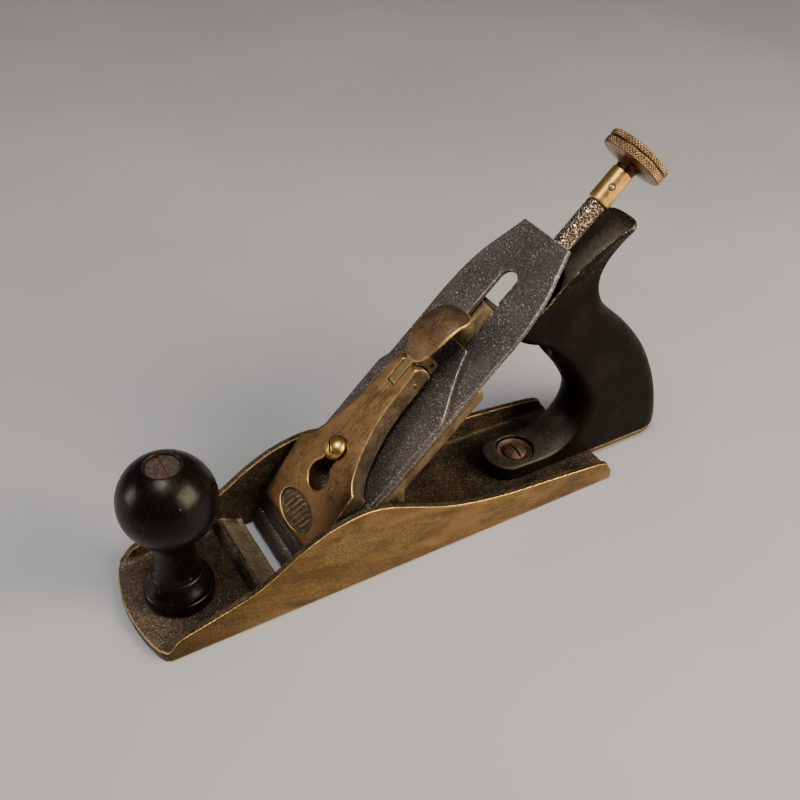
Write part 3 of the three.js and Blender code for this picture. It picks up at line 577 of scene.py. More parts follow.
def knob_ebony():
    """near-black gloss with chips, rubbed patches and smudges"""
    mat = Mat("ebonised_gloss")
    grain = mat.noise(mm=1.3, detail=4, rough=0.6, stretch=(1, 1, 0.08))
    color = mat.coat((0.0016, 0.0012, 0.0009), (0.0036, 0.0024, 0.0016), of=grain,
                     at=(0.35, 0.7))
    chip = mat.ramp(of=mat.cells(mm=11), at=(0.045, 0.075), to=(1, 0))
    color = mat.coat(color, (0.03, 0.016, 0.009), by=chip)
    color = mat.coat(color, (0.030, 0.016, 0.008), at=(0.56, 0.68), mm=7, detail=5,
                     amount=0.20)
    color = mat.coat(color, (0.060, 0.046, 0.034), by=mat.times(
        mat.attr("wear"), mat.ramp(at=(0.36, 0.60), to=(0.35, 1), mm=3, detail=4)))
    cloud = mat.ramp(at=(0.3, 0.7), to=(0.21, 0.29), mm=9, detail=4, rough=0.62)
    smudge = mat.ramp(at=(0.42, 0.66), to=(0, 0.10), mm=3.2, detail=5, rough=0.72,
                      stretch=(1, 1, 0.5))
    spots = mat.ramp(at=(0.56, 0.72), to=(0, 0.16), mm=1.1)
    rough = mat.calc("ADD", cloud, mat.calc("ADD", smudge, spots))
    relief = mat.relief((mat.noise(mm=7, rough=0.5), 0.5, 0.20), (grain, 0.25, 0.03),
                        (mat.noise(mm=0.9), 0.35, 0.03), (mat.times(chip, -1.0), 0.6, 0.25))
    return mat.finish(color, rough, relief, metal=0.0, specular=0.17, tint=(1.0, 0.87, 0.72))


def tote_ebony():
    """dull black with worn edges (partly a painted highlight), rubbed patches, flecks, scratches,
    and painted sheen on up-facing faces
    """
    mat = Mat("ebonised_tote")
    wear, slope = mat.attr("wear"), mat.attr("ramp")
    grain = mat.noise(mm=1.2, detail=4, rough=0.6, tilt=-35, stretch=(1, 1, 0.07))
    base = mat.coat((0.0025, 0.0018, 0.0009), (0.0062, 0.0043, 0.0021), of=grain,
                    at=(0.35, 0.7))
    base = mat.coat(base, (0.010, 0.0070, 0.0033), at=(0.44, 0.68), to=(0, 0.6),
                    mm=26, rough=0.6)
    # painted sheen: up-facing faces (the horn's ramp and the toe step) are coloured lighter,
    # mottled
    base = mat.coat(base, (0.034, 0.026, 0.019), by=mat.times(
        slope, mat.ramp(at=(0.38, 0.60), to=(0.35, 1), mm=2.0, detail=5, rough=0.75)))
    # worn edges; on the ramp's near arris the pale edge colour is also a painted highlight
    worn = mat.times(mat.ramp(of=wear, at=(0.17, 0.30)),
                     mat.ramp(at=(0.46, 0.60), to=(0.12, 0.9), mm=1.8, detail=5, rough=0.78))
    rub = mat.times(mat.ramp(of=wear, at=(0.05, 0.13)),
                    mat.ramp(at=(0.60, 0.68), to=(0, 0.75), mm=1.5, detail=4, rough=0.8),
                    mat.ramp(at=(0.50, 0.62), mm=11, rough=0.6))
    fleck = mat.times(mat.ramp(at=(0.655, 0.71), mm=0.8, rough=0.8),
                      mat.ramp(at=(0.51, 0.61), mm=13, rough=0.6))
    scratch = mat.times(mat.ramp(at=(0.70, 0.74), mm=1.1, turn=(0.4, 0.9, 0.3),
                                 stretch=(0.12, 1, 1)),
                        mat.ramp(at=(0.52, 0.62), mm=15, detail=2, rough=0.55))
    bare = mat.calc("MAXIMUM", mat.calc("MAXIMUM", worn, rub),
                    mat.calc("MAXIMUM", mat.times(fleck, 0.8), mat.times(scratch, 0.35)))
    tip = mat.times(mat.attr("tipw"), mat.ramp(at=(0.54, 0.64), to=(0, 0.5),
                                               mm=1.2, detail=4, rough=0.75))
    bare = mat.calc("MAXIMUM", bare, tip)
    # bare wood where worn; its pale worn-edge tone is partly a painted highlight along the
    # arrises
    wood = mat.coat((0.19, 0.130, 0.062), (0.27, 0.225, 0.165), by=worn)
    rough = mat.ramp(at=(0.3, 0.7), to=(0.34, 0.48), mm=9, detail=4, rough=0.62)
    rough = mat.pick(slope, off=mat.pick(bare, off=rough, on=0.6), on=0.50)
    relief = mat.relief((grain, 0.5, 0.06), (mat.noise(mm=1.4, detail=4), 0.5, 0.10))
    return mat.finish(mat.coat(base, wood, by=bare), rough, relief, metal=0.0,
                      specular=mat.pick(slope, off=0.055, on=0.36), tint=(1.0, 0.88, 0.73))


def brass(name, low, high, rough, grime_and_shade=(0.10, 0.06, 0.025), edge=0.8, pits=0.35):
    """yellow metal between two tones; edge is the strength of edge wear"""
    mat = Mat(name)
    color = mat.coat(low, high, at=(0.34, 0.66), mm=4.5, detail=4, rough=0.62)
    color = mat.coat(color, grime_and_shade, at=(0.60, 0.74), to=(0, 0.4), mm=1.3)
    color = mat.dim(color, by=mat.pick(mat.attr("bright"), off=1.0, on=2.9))
    # darker in hollows; on the wheel hub this is a painted shadow under the wheel's flare
    color = mat.coat(color, grime_and_shade, of=mat.attr("cav"), at=(-0.5, -0.12), to=(0.8, 0))
    color = mat.coat(color, (0.84, 0.60, 0.27), of=mat.attr("wear"), at=(0.34, 0.66),
                     to=(0, edge))
    return mat.finish(color, mat.ramp(at=(0.3, 0.7), to=rough, mm=2.2, rough=0.55),
                      mat.relief((mat.noise(mm=0.7, rough=0.6), pits, 0.03)))


def rusty(name, low, high, rust, slot_color, edge, metal=0.7):
    mat = Mat(name)
    slot = mat.attr("slot")
    color = mat.coat(low, high, at=(0.36, 0.64), mm=2.4, detail=4, rough=0.68)
    color = mat.coat(color, rust, at=(0.60, 0.72), to=(0, 0.5), mm=0.8)
    color = mat.coat(color, slot_color, by=slot)
    color = mat.coat(color, (0.36, 0.22, 0.13), of=mat.attr("wear"), at=(0.34, 0.62),
                     to=(0, edge))
    relief = mat.relief((mat.noise(mm=0.9, detail=4), 0.9, 0.14),
                        (mat.noise(mm=2.6), 0.6, 0.20))
    return mat.finish(color, mat.ramp(at=(0.3, 0.7), to=(0.46, 0.68), mm=1.4, rough=0.55),
                      relief, metal=mat.pick(slot, off=metal, on=0.1))


BODY = bronze_body()
CAP = bronze_cap("lever_cap_bronze")
LEAF = bronze_cap("cam_leaf_bronze", shade=0.60, tint=(1.0, 1.02, 1.16), rough=(0.46, 0.58),
                  grain=1.2, edge=0.62, wear_at=(0.50, 0.76))
IRON = pitted_steel("cutting_iron_steel", (0.092, 0.072, 0.061), (0.140, 0.111, 0.095),
                    (0.84, 0.76, 0.71), pit_mm=0.95, rough=(0.42, 0.62), amount=0.85)
CAP_IRON = pitted_steel("cap_iron_steel", (0.070, 0.054, 0.046), (0.115, 0.091, 0.078),
                        (0.76, 0.68, 0.63), pit_mm=0.9, rough=(0.42, 0.62), amount=0.85)
ROD = rod_steel()
PLAIN = pitted_steel("plain_steel", (0.07, 0.06, 0.052), (0.12, 0.10, 0.09),
                     (0.3, 0.28, 0.26), pit_mm=1.2)
KNOB = knob_ebony()
TOTE = tote_ebony()
BRASS = brass("polished_brass", (0.60, 0.345, 0.090), (0.74, 0.455, 0.135),
              rough=(0.26, 0.34), grime_and_shade=(0.10, 0.05, 0.016), edge=0.15)
COLLAR = brass("collar_bronze", (0.76, 0.380, 0.090), (0.98, 0.58, 0.180),
               rough=(0.27, 0.36), grime_and_shade=(0.42, 0.19, 0.05), edge=0.10, pits=0.05)
WHEEL = brass("wheel_bronze", (0.24, 0.138, 0.066), (0.40, 0.24, 0.115),
              rough=(0.26, 0.40), grime_and_shade=(0.022, 0.013, 0.008))
FACE = brass("wheel_face_bronze", (0.13, 0.073, 0.034), (0.27, 0.160, 0.075),
             rough=(0.42, 0.56), grime_and_shade=(0.03, 0.018, 0.011))
FROG = brass("frog_bronze", (0.100, 0.068, 0.033), (0.205, 0.142, 0.070),
             rough=(0.44, 0.62), grime_and_shade=(0.035, 0.024, 0.013), edge=0.3)
BOLT_RUST = rusty("brown_steel_screw", (0.055, 0.037, 0.029), (0.120, 0.081, 0.062),
                  rust=(0.16, 0.085, 0.045), slot_color=(0.115, 0.034, 0.011), edge=0.15)
TOTE_RUST = rusty("rusty_tote_screw", (0.034, 0.018, 0.010), (0.100, 0.048, 0.023),
                  rust=(0.19, 0.085, 0.036), slot_color=(0.010, 0.006, 0.004), edge=0.2,
                  metal=0.35)
PIN = brass("pin_steel", (0.52, 0.49, 0.45), (0.62, 0.6, 0.56), rough=(0.22, 0.35),
            grime_and_shade=(0.12, 0.1, 0.08))


# ---------------------------------------------------------------- castings
def body_casting():
    # half plan: x, y
    toe = curve([(-117.7, 0), (-117.45, 6), (-116.85, 11), (-115.95, 16), (-114.9, 20),
                 (-113.6, 24.2), (-112.4, 26.9), (-111.0, 28.6), (-109.2, HALF_WIDTH)], 4)
    plan = mirrored([*toe, (HEEL_X - 1.2, HALF_WIDTH), (HEEL_X, HALF_WIDTH - 1.2)])
    # top edge of the side walls: x, z
    top = curve([(-112.5, 4.6), (-110.4, 5.3), (-109, 6.7), (-106.6, 9.5), (-102.9, 11.3),
                 (-89.5, 14.8), (-72.9, 19.8), (-62.1, 25.7), (-52.8, 32.0), (-44.2, 36.6),
                 (-35.5, 39.9), (-22.6, 41.9), (-11.5, 40.0), (0.9, 34.7), (18.4, 26.9),
                 (35.6, 21.8), (55.8, 18.2), (78.8, 16.0), (94, 14.4), (105.8, 13.0),
                 (111.2, 11.9)], 8)
    wall = [(-130, -9), (HEEL_X + 9, -9), (HEEL_X + 9, 3.2), (HEEL_X, 3.2), (115.3, 7.3),
            (113.6, 10.4), *top[::-1], (-130, 4.0)]
    rib = [(-69.6, 2), (-69.2, 4.6), (-67.6, 8.6), (-66.9, 9.5), (-66.0, 9.8), (-65.1, 9.4),
           (-55.2, 3.1), (-55.2, 2)]
    mouth = [(-56.7, -3), (-56.4, 0), (-55.2, 3.1), (-55.2, 20), (-44, 20), (-44, 7.7),
             (-49.3, 2.4), (-49.3, -3)]
    tongue_x, tongue_r = 152, 12.0         # round end of the tongue behind the heel
    tongue = [(HEEL_X - 6, -tongue_r), (tongue_x, -tongue_r),
              *((tongue_x + tongue_r * math.cos(a), tongue_r * math.sin(a))
                for a in np.linspace(-1.4, 1.4, 15)),
              (tongue_x, tongue_r), (HEEL_X - 6, tongue_r)]

    grid = Grid((-119.3, -30.9, -1.4), (165.8, 30.9, 43.6), 0.5)
    x, y, z = grid.axes
    walls = meet(grid.side(wall), INNER_HALF - np.abs(y), 0.6)
    field = meet(join(z - FLOOR_TOP, walls, 2.2), -z, 0.4)
    field = join(field, meet(grid.side(rib), np.abs(y) - INNER_HALF - 0.6), 1.0)
    field = meet(field, grid.plan(plan), 0.55)
    field = np.minimum(field, meet(meet(grid.plan(tongue), z - FLOOR_TOP, 0.5), 2.0 - z, 0.3))
    field = meet(field, -meet(grid.side(mouth), np.abs(y) - INNER_HALF), 0.3)
    # hole in the tongue, open below, and the tote screw's hole, closed below
    field = np.maximum(field, -meet(np.hypot(x - 142.0, y) - 4.9, z - 3.5))
    field = np.maximum(field, -(np.hypot(x - TOTE_SCREW_X, y) - 3.15 + 1e3 * (z < 1.2)))
    verts, faces, attrs, normals = surface(field, grid)

    x, y, z = verts.T
    inside = (np.abs(y) < INNER_HALF + 0.8) & (z > 1.2) & (x < HEEL_X)
    lump = lumps(verts, 6.0, 11, 0.35) + lumps(verts, 2.4, 12, 0.16)
    lump = np.where((np.abs(normals[:, 1]) > 0.5) & (x > -75), -np.abs(lump), lump)
    verts += normals * (lump * inside)[:, None]
    verts += normals * lumps(verts, 34.0, 13, 0.12)[:, None]

    reach = np.abs(y)
    rim = np.interp(x, *top.T, left=4.6, right=9.0)
    toe_gap = np.where(x < -104, outline(x, y, plan), -9.0)
    edge = np.maximum(clamp((reach - INNER_HALF + 0.6) / 0.6), clamp((toe_gap + 1.0) / 0.5))
    edge = np.maximum(edge, 0.5 * (x > HEEL_X - 1.5))
    attrs["wear"] = np.maximum(attrs["wear"] * np.maximum(edge, 0.12),
                               0.62 * clamp((1.0 - z) / 0.5) * (reach > 28.6))
    outer = clamp(np.maximum((reach - 28.4) / 0.5, (0.6 - z) / 0.4))
    outer = np.where((toe_gap > -0.5) & (z < 3.5), 0.9, outer)
    attrs["outer"] = np.where(x > HEEL_X + 0.5, 0.30, outer)
    # painted shade: rises towards the toe, where the outside colour is dimmed
    attrs["toe_shade"] = clamp((-45 - x) / 55)
    attrs["toprim"] = clamp((z - rim + 1.0) / 0.5) * ((reach > INNER_HALF - 0.2) & (z > 6))
    # painted light: the floor inside the toe, where light falls in
    attrs["lit"] = clamp((-93 - x) / 14) * (reach < INNER_HALF) * (z > 3)
    # painted light: up-facing faces of the mouth ramp, coloured lighter in the material
    attrs["ramp"] = (x > -65.2) & (x < -55.3) & (reach < INNER_HALF) & (normals[:, 2] > 0.3)
    build("body_casting", verts, faces, BODY, "base", "bronze", "plane_body", attrs)


def frog_casting():
    grid = Grid((-49.5, -26.6, 3.4), (66, 26.6, 105), 0.75)
    x, y, z = grid.axes
    along, off = (x - BED_X) * DIAG + z * DIAG, -(x - BED_X) * DIAG + z * DIAG

    def block(start, end, low, high):
        """bed-frame rectangle, in along and off"""
        return np.maximum(np.abs(along - (start + end) / 2) - (end - start) / 2,
                          np.abs(off - (low + high) / 2) - (high - low) / 2)

    foot, back_x = FLOOR_TOP + 0.05, -1.2
    wedge = grid.side([bed_xz((foot - BED_OFF * DIAG) / DIAG, BED_OFF), (back_x, foot),
                       (back_x, 42.56), bed_xz(118.4, -8.2), bed_xz(119.8, -7.4),
                       bed_xz(121, -5.2), bed_xz(121, BED_OFF)])
    field = meet(wedge, np.abs(y) - 25.4, 0.7)
    field = join(field, meet(block(112, 149, -19.4, -3.5), np.abs(y) - 8.5, 0.6), 0.8)
    field = join(field, meet(block(46, 128, -29, -19.3), np.abs(y) - 4, 0.6), 0.8)
    field = meet(field, -np.maximum(block(81.5, 111, -19.3, 4), np.abs(y) - 9.3), 0.4)
    bore = np.sqrt((off - ROD_OFF) ** 2 + y ** 2) - 4.6
    field = np.maximum(field, -np.maximum(bore, 105 - along))
    verts, faces, attrs, normals = surface(field, grid)
    rough_side = lumps(verts, 5.0, 21, 0.30) * (np.abs(verts[:, 1]) > 24.5)
    verts += normals * rough_side[:, None]
    attrs["wear"] *= 0.6
    attrs["bright"] = (((verts[:, 0] - BED_X) * DIAG + verts[:, 2] * DIAG > 110)
                       * clamp((normals[:, 2] - normals[:, 0] - 0.9) / 0.3))
    build("frog_casting", verts, faces, FROG, "base", "bronze", "frog", attrs)


# ---------------------------------------------------------------- irons, in the bed frame
def plate(name, half, side, holes, low, high, step, shade_end, material, node, slot):
    """Flat iron from its half plan and side outline.

    low and high are the grid's (along, off) limits; a hole is (first and last centre, radius).
    """
    grid = Grid((low[0], -27.0, low[1]), (high[0], 27.0, high[1]), step)
    along, y, _ = grid.axes
    field = meet(grid.plan(mirrored(half)), grid.side(side), 0.32)
    for hole in holes:
        field = meet(field, -pill(along, y, *hole), 0.25)
    verts, faces, attrs, _ = surface(field, grid, relax=1, wear_reach=0.45)
    # painted shade: marks the front end, which lies in shade in the mouth for the cutting iron
    # and under the lever cap's nose for the cap iron
    attrs["front_shade"] = clamp((shade_end - verts[:, 0]) / 4)
    flat = verts * [1, 1, 0.2]
    verts[:, 2] += lumps(flat, 3.0, 31, 0.10) + lumps(flat, 14.0, 32, 0.12)
    build(name, on_bed(verts), faces, material, "blade", slot, node, attrs)


def irons():
    # half plans: along, y; sides: along, off
    iron_top = 187
    iron_half = [(EDGE_ALONG, 25.4), *curve([
        (142, 25.4), (150, 25.05), (158, 24.05), (166, 22.4), (172, 20.4), (177.5, 18.3),
        (182.5, 16.5), (186.4, 15.1), (iron_top, 14.5)], 4)]
    iron_side = [(EDGE_ALONG, 0), (EDGE_ALONG + 5.0, -IRON_THICK), (iron_top, -IRON_THICK),
                 (iron_top, 0)]
    plate("cutting_iron_plate", iron_half, iron_side,
          holes=[(51.25, 161.25, 5.25), (44, 44, 7.1)], low=(3.6, -3.4), high=(188.4, 0.9),
          step=(0.55, 0.55, 0.28), shade_end=13.5,
          material=IRON, node="cutting_iron", slot="tool_steel")
    cap_half = [(12.5, 25.35), (100, 25.35), (103.5, 23.9), (107.7, 21.4), (113, 18.1),
                (119, 14.8), (124, 12.6), (128.8, 10.7), (129.4, 10.1)]
    cap_side = [(12.5, 0.1), (129.4, 0.1), (129.4, 2.6), (24, 2.6), (19, 2.25), (12.8, 0.8)]
    plate("cap_iron_plate", cap_half, cap_side,
          holes=[(55.5 + 5.2, 74.5 - 5.2, 5.2)], low=(11.0, -0.9), high=(131.0, 3.5),
          step=(0.5, 0.5, 0.27), shade_end=21.0,
          material=CAP_IRON, node="cap_iron", slot="tool_steel")


# ---------------------------------------------------------------- lever cap and cam lever
def lever_cap():
    oval_along, oval_long, oval_wide = 29.6, 7.0, 12.7
    key_along = 48.5                       # wide end of the keyhole

    def oval(along, y):
        scaled = ((along - oval_along) / oval_long) ** 2 + (y / oval_wide) ** 2
        return (np.sqrt(scaled) - 1) * oval_long

    # side outline: along, off
    top = curve([(20.0, 4.6), (21.0, 6.2), (23.4, 7.3), (30, 8.6), (40, 10.4), (48, 11.8),
                 (55, 12.8), (62, 13.55), (72, 14.5), (85, 14.9), (98, 15.0), (108.5, 15.0)], 6)
    nose = [(PIVOT_ALONG + 8.2 * math.cos(math.radians(a)),
             PIVOT_OFF + 8.2 * math.sin(math.radians(a))) for a in range(42, -31, -6)]
    under = [(110.8, 5.3), (100, 5.4), (72, 5.5), (62, 4.8), (55, 3.8), (48, 3.4), (30, 3.1),
             (25, 2.9), (22.6, 2.8), (20.6, 2.85), (19.8, 3.6)]
    # half plan: along, y
    half = [(19.2, 21.6), (19.8, 22.5), (21.2, 23.1), (54.3, 23.1), *curve([
        (55.2, 22.8), (57, 20.2), (60, 17.5), (64, 15.4), (68, 13.8), (72, 12.5), (78, 10.7),
        (83.5, 9.3), (90, 8.4), (96, 8.0), (104, 7.5), (110, 7.2), (112.6, 6.6)], 4)]

    grid = Grid((18.3, -24.6, 1.4), (113.6, 24.6, 16.6), 0.34)
    along, y, off = grid.axes
    field = meet(grid.plan(mirrored(half)), grid.side([*top, *nose, *under]), 0.75)
    top_off = np.interp(along, *top.T)
    recess = oval(along, y)
    field = meet(field, -np.maximum(recess, top_off - 1.15 - off), 0.3)
    # slanting bars raised inside the oval
    pitch = 2.7
    bar = (y * 0.93 + (along - oval_along) * 0.37) / pitch
    bars = np.maximum(np.abs(bar - np.round(bar)) * pitch - 0.62, recess + 1.5)
    bars = meet(np.maximum(bars, top_off - 2.4 - off), off - (top_off - 0.50), 0.3)
    field = join(field, bars, 0.15)
    keyhole = join(np.hypot(along - key_along, y) - 6.5,
                   pill(along, y, key_along, CAP_SCREW_ALONG, 3.6), 0.3)
    field = meet(field, -keyhole, 0.45)
    pocket = np.minimum(np.hypot(along - PIVOT_ALONG, off - PIVOT_OFF) - 7.1,
                        np.maximum(PIVOT_ALONG - along, along - 120))
    field = meet(field, -meet(pocket, np.abs(y) - 2.55), 0.25)
    verts, faces, attrs, normals = surface(field, grid)

    along, y, off = verts.T
    facing = normals[:, 2]
    attrs["side"] = ((np.abs(facing) < 0.55) & (np.hypot(along - key_along, y) > 7.2)
                     | (facing < -0.5))
    top_off = np.interp(along, *top.T)
    attrs["recess"] = (((oval(along, y) < -0.1) & (off > top_off - 1.6))
                       * (0.72 + 0.28 * clamp((top_off - 0.8 - off) / 0.3)))
    attrs["tone"] = clamp((along - 63) / 24)
    off += lumps(verts * [1, 1, 0.1], 9.0, 41, 0.12)
    build("lever_cap_casting", on_bed(verts), faces, CAP, "clamp", "cap_bronze", "lever_cap",
          attrs)


def cam_lever():
    # top line of the leaf: along, off, half width, rise towards the sides
    leaf_line = curve([
        (112.0, 14.8, 2.5, 0.0), (112.9, 14.93, 4.3, 0.05), (114.4, 15.15, 5.8, 0.12),
        (117, 15.68, 7.2, 0.28), (120.5, 16.38, 8.45, 0.48), (125, 16.68, 9.3, 0.68),
        (130, 16.0, 9.5, 0.8), (134.6, 14.14, 9.0, 0.84), (137.6, 12.06, 8.8, 0.76),
        (139.4, 10.0, 7.8, 0.6), (140.4, 8.2, 6.3, 0.4), (140.9, 7.0, 4.3, 0.2),
        (141.0, 6.24, 1.8, 0.04)], 8)
    foot_side = [(111, 4.2), (112.4, 3.2), (116.6, 3.4), (117.4, 5.2), (117.2, 9.4),
                 (118.4, 14.6), (111, 13.9)]
    neck_side = [(104, 6.2), (113.6, 5.2), (115.5, 14.0), (113.2, 14.8), (104, 14.8)]
    neck_half = 2.35

    grid = Grid((96.5, -10.6, 1.8), (142.6, 10.6, 19.4), 0.26)
    along, y, off = grid.axes
    # at the nearest place on the line: distance, signed height, half width, side rise
    nearest = np.full((4, grid.shape[0], 1, grid.shape[2]), 1e9)
    for start, end in zip(leaf_line, leaf_line[1:]):
        step = end[:2] - start[:2]
        from_along, from_off = along - start[0], off - start[1]
        part = np.clip((from_along * step[0] + from_off * step[1]) / (step @ step), 0, 1)
        gap = np.hypot(from_along - part * step[0], from_off - part * step[1])
        above = np.sign(step[0] * from_off - step[1] * from_along) * gap
        width, rise = (start[k] + (end[k] - start[k]) * part for k in (2, 3))
        nearest = np.where(gap < nearest[0], [gap, above, width, rise], nearest)
    _, above, width, rise = nearest
    skin = above + rise * np.minimum(y / np.maximum(width, 1), 1.05) ** 2
    thick = 2.1 - 0.9 * np.clip(np.abs(y) / np.maximum(width, 1), 0, 1) ** 2
    past_tip = np.maximum(6.1 - off, 0) * (along > 136)
    leaf = meet(np.maximum(skin, -skin - thick), np.abs(y) - width, 0.28)
    leaf = meet(leaf, np.maximum(111.8 - along, past_tip - 0.2), 0.2)
    wide = join(leaf, meet(grid.side(foot_side), np.abs(y) - 4.9, 0.6), 1.2)
    from_pivot = np.hypot(along - PIVOT_ALONG, off - PIVOT_OFF)
    wide = meet(wide, 8.7 - from_pivot, 0.3)
    hub = meet(meet(from_pivot - 6.65, np.abs(y) - neck_half, 0.25), off - 14.8, 0.25)
    neck = meet(grid.side(neck_side), np.abs(y) - neck_half, 0.3)
    field = join(join(hub, neck, 0.1), wide, 0.4)
    # small blind hole in each side of the foot
    dimple = np.hypot(along - 114.9, off - 6.6) - 0.95 + 1e3 * (np.abs(y) < 3.2)
    verts, faces, attrs, normals = surface(np.maximum(field, -dimple), grid, relax=3)

    along, y, off = verts.T
    # painted shade: the leaf's underside and the foot below it take the dark side colour
    attrs["side"] = (along > 110.8) & ((normals[:, 2] < 0.0) | (off < 13.4) & (along < 119))
    attrs["neck"] = (along < 112.6) & (np.abs(y) < 2.9)
    attrs["tone"] = np.full(len(verts), 0.55)
    attrs["wear"] *= np.where((along < 119.5) & (off < 14.2), 0.2, 1.0)
    build("cam_lever_leaf", on_bed(verts), faces, LEAF, "cam", "cap_bronze", "cam_lever", attrs)


# ---------------------------------------------------------------- wooden parts
def tote():
    # side outline: x, z, edge rounding, share of the full half thickness
    heel_side = [
        (165.6, 1, 9.8, 1), (165.4, 6, 9.8, 1), (164.5, 11.5, 9.6, 1), (162.7, 17.2, 9.2, 1),
        (158.0, 31.9, 9, 1), (152.5, 44.2, 8.6, 1), (143.6, 59.2, 8, 1), (131.8, 72.8, 7.6, 1),
        (120.8, 82.8, 7.4, 1), (114.0, 89.4, 7.2, 0.97), (109.7, 95.4, 7, 0.93),
        (107.1, 102.0, 6.6, 0.86), (106.9, 107.5, 6.0, 0.78), (108.8, 112.3, 5.2, 0.72),
        (111.8, 116.3, 4.6, 0.68), (116.0, 120.7, 4.4, 0.67), (119.8, 125.1, 4.0, 0.70),
        (122.4, 128.7, 2.8, 0.77)]
    top_side = [
        heel_side[-1], (121.6, 130.6, 1.7, 0.81), (118, 131.4, 1.3, 0.82),
        (113, 130.8, 1.4, 0.83), (106, 128.0, 1.2, 0.83), (95.5, 121.8, 1.2, 0.83),
        (85, 113.6, 1.2, 0.83), (75.2, 104.0, 1.2, 0.82), (64.5, 92.3, 2.4, 0.74)]
    toe_side = [
        top_side[-1], (62.6, 88.6, 4.5, 0.76), (64.4, 84.8, 6, 0.8), (69.4, 81, 7, 0.88),
        (75.8, 77.5, 8, 0.94), (81.9, 72.8, 9, 1), (90.2, 64.0, 9.6, 1), (98.8, 52.6, 10, 1),
        (103.6, 44.6, 10.2, 1), (105.8, 38.8, 10.2, 1), (106.1, 32.6, 10, 1),
        (104.8, 26.8, 9, 1), (101.8, 21.2, 7, 1), (97.2, 16.8, 5.2, 1), (92, 14.4, 4, 1),
        (86, 13.6, 3, 1), (75, 13.5, 1.8, 1), (63.2, 13.5, 1.6, 1)]
    loop = [(60.4, -14, 2, 1), (100, -14, 2, 1), (166.0, -14, 9.5, 1), (166.0, -4, 9.5, 1)]
    for stations, steps in ((heel_side, 5), (top_side, 4), (toe_side, 5)):
        loop += list(curve(stations, steps)[:-1])
    loop = np.array([*loop, toe_side[-1], (60.4, 13.4, 1.6, 1)])

    grid = Grid((58.6, -13.8, 3.2), (168.0, 13.8, 133.4), 0.62)
    x, y, z = grid.axes
    # rounding and thickness blend from the outline points, the nearest weighing most
    weight = 1.0 / (((x[:, 0, :, None] - loop[:, 0]) ** 2
                     + (z[0, :, :, None] - loop[:, 1]) ** 2 + 0.6) ** 2)
    weight /= weight.sum(-1, keepdims=True)
    radius = (weight * loop[:, 2]).sum(-1)[:, None, :]
    thick = 12.4 * (weight * loop[:, 3]).sum(-1)[:, None, :]
    depth = np.maximum(grid.side(loop[:, :2]) + radius, 0)
    ratio = np.maximum(np.hypot(depth / radius, y / thick), 1e-3)
    slope = np.maximum(np.hypot(depth / radius ** 2, y / thick ** 2), 1e-4)
    field = (ratio - 1) / (slope / ratio)
    field = np.where(ratio < 0.3, -0.7 * thick, field)
    turn = np.linspace(-math.pi / 2, math.pi / 2, 25)
    plan = [*((73.2 - 12.6 * math.cos(a), 12.45 * math.sin(a)) for a in turn),
            *((152.5 + 13 * math.cos(a), 12.45 * math.sin(a))
              for a in np.linspace(math.pi / 2, -math.pi / 2, 25))]
    field = meet(field, grid.plan(plan), 1.5)
    tip_x = 115.0
    tip = (np.hypot(np.maximum(x - tip_x, 0) / 8.0, y / 10.2) - 1) * 8.0
    field = meet(field, np.where((x > tip_x) & (z > 108), tip, -6.0), 0.8)
    field = meet(field, 4.5 - z, 0.35)
    field = meet(field, -meet(np.hypot(x - TOTE_SCREW_X, y) - 9.3, 9.0 - z), 0.5)
    verts, faces, attrs, normals = surface(field, grid)

    push = lumps(verts, 18.0, 51, 0.25) + lumps(verts, 5.0, 52, 0.08)
    verts += normals * push[:, None]
    x, _, z = verts.T
    nx, _, nz = normals.T
    # up-facing faces: the horn's ramp and the toe step; the material paints a lighter sheen on
    # them
    attrs["ramp"] = (clamp((nz * 0.75 - nx * 0.66 - 0.72) / 0.2) * (z > 92)
                     + clamp((nz - 0.35) / 0.3) * (z < 40) * 0.85)
    below = np.interp(x, *np.array(top_side)[:-6:-1, :2].T) - z
    attrs["wear"] *= (np.where((x < 96) & (z > 60) & (below > 2.6), 0.0, 1.0)
                      * np.where(z < 22, 0.45, 1.0))
    attrs["tipw"] = clamp((z - 104) / 22) * (attrs["ramp"] < 0.25) * (nx > -0.3)
    build("tote_wood", verts, faces, TOTE, "base", "tote_wood", "tote", attrs)


def front_knob():
    # radius, z
    base = curve([(14.3, 4.6), (14.75, 5.2), (14.85, 7.5), (14.75, 9.6), (14.3, 10.3)], 4)
    flare = curve([(14.05, 11.2), (14.25, 11.7), (13.6, 13.0), (12.35, 14.9), (11.3, 16.7),
                   (10.75, 17.9)], 4)
    stem = curve([(10.15, 18.45), (9.75, 19.6), (9.3, 21.4), (8.9, 25), (8.68, 29), (8.6, 33),
                  (9.0, 36.6), (10.1, 39.4), (11.6, 41.7)], 5)
    ball_start = math.degrees(math.atan2(42.9 - BALL_Z, 13.0))
    ball = [(BALL_RADIUS * math.cos(math.radians(a)),
             BALL_Z + BALL_RADIUS * math.sin(math.radians(a)))
            for a in np.linspace(ball_start, 68.2, 60)]
    profile = [(0, 4.5), (13.9, 4.5), *base, (14.0, 10.55), (13.95, 10.9), *flare,
               (10.62, 18.1), (10.3, 18.2), *stem, *ball,
               (7.15, 76.3), (7.0, 75.9), (7.0, 71.9), (3.4, 71.9), (0, 71.9)]
    verts, faces = lathe(profile, 112, (*np.eye(3), (KNOB_X, 0, 0)))
    radius, z = np.hypot(verts[:, 0] - KNOB_X, verts[:, 1]), verts[:, 2]
    wear = np.maximum((np.abs(z - 18.15) < 0.16) * 0.10,
                      ((z > 75.4) & (radius > 6.9) & (radius < 7.5)) * 0.35)
    build("front_knob_turned", verts, faces, KNOB, "base", "ebonised_wood", "front_knob",
          {"wear": wear})


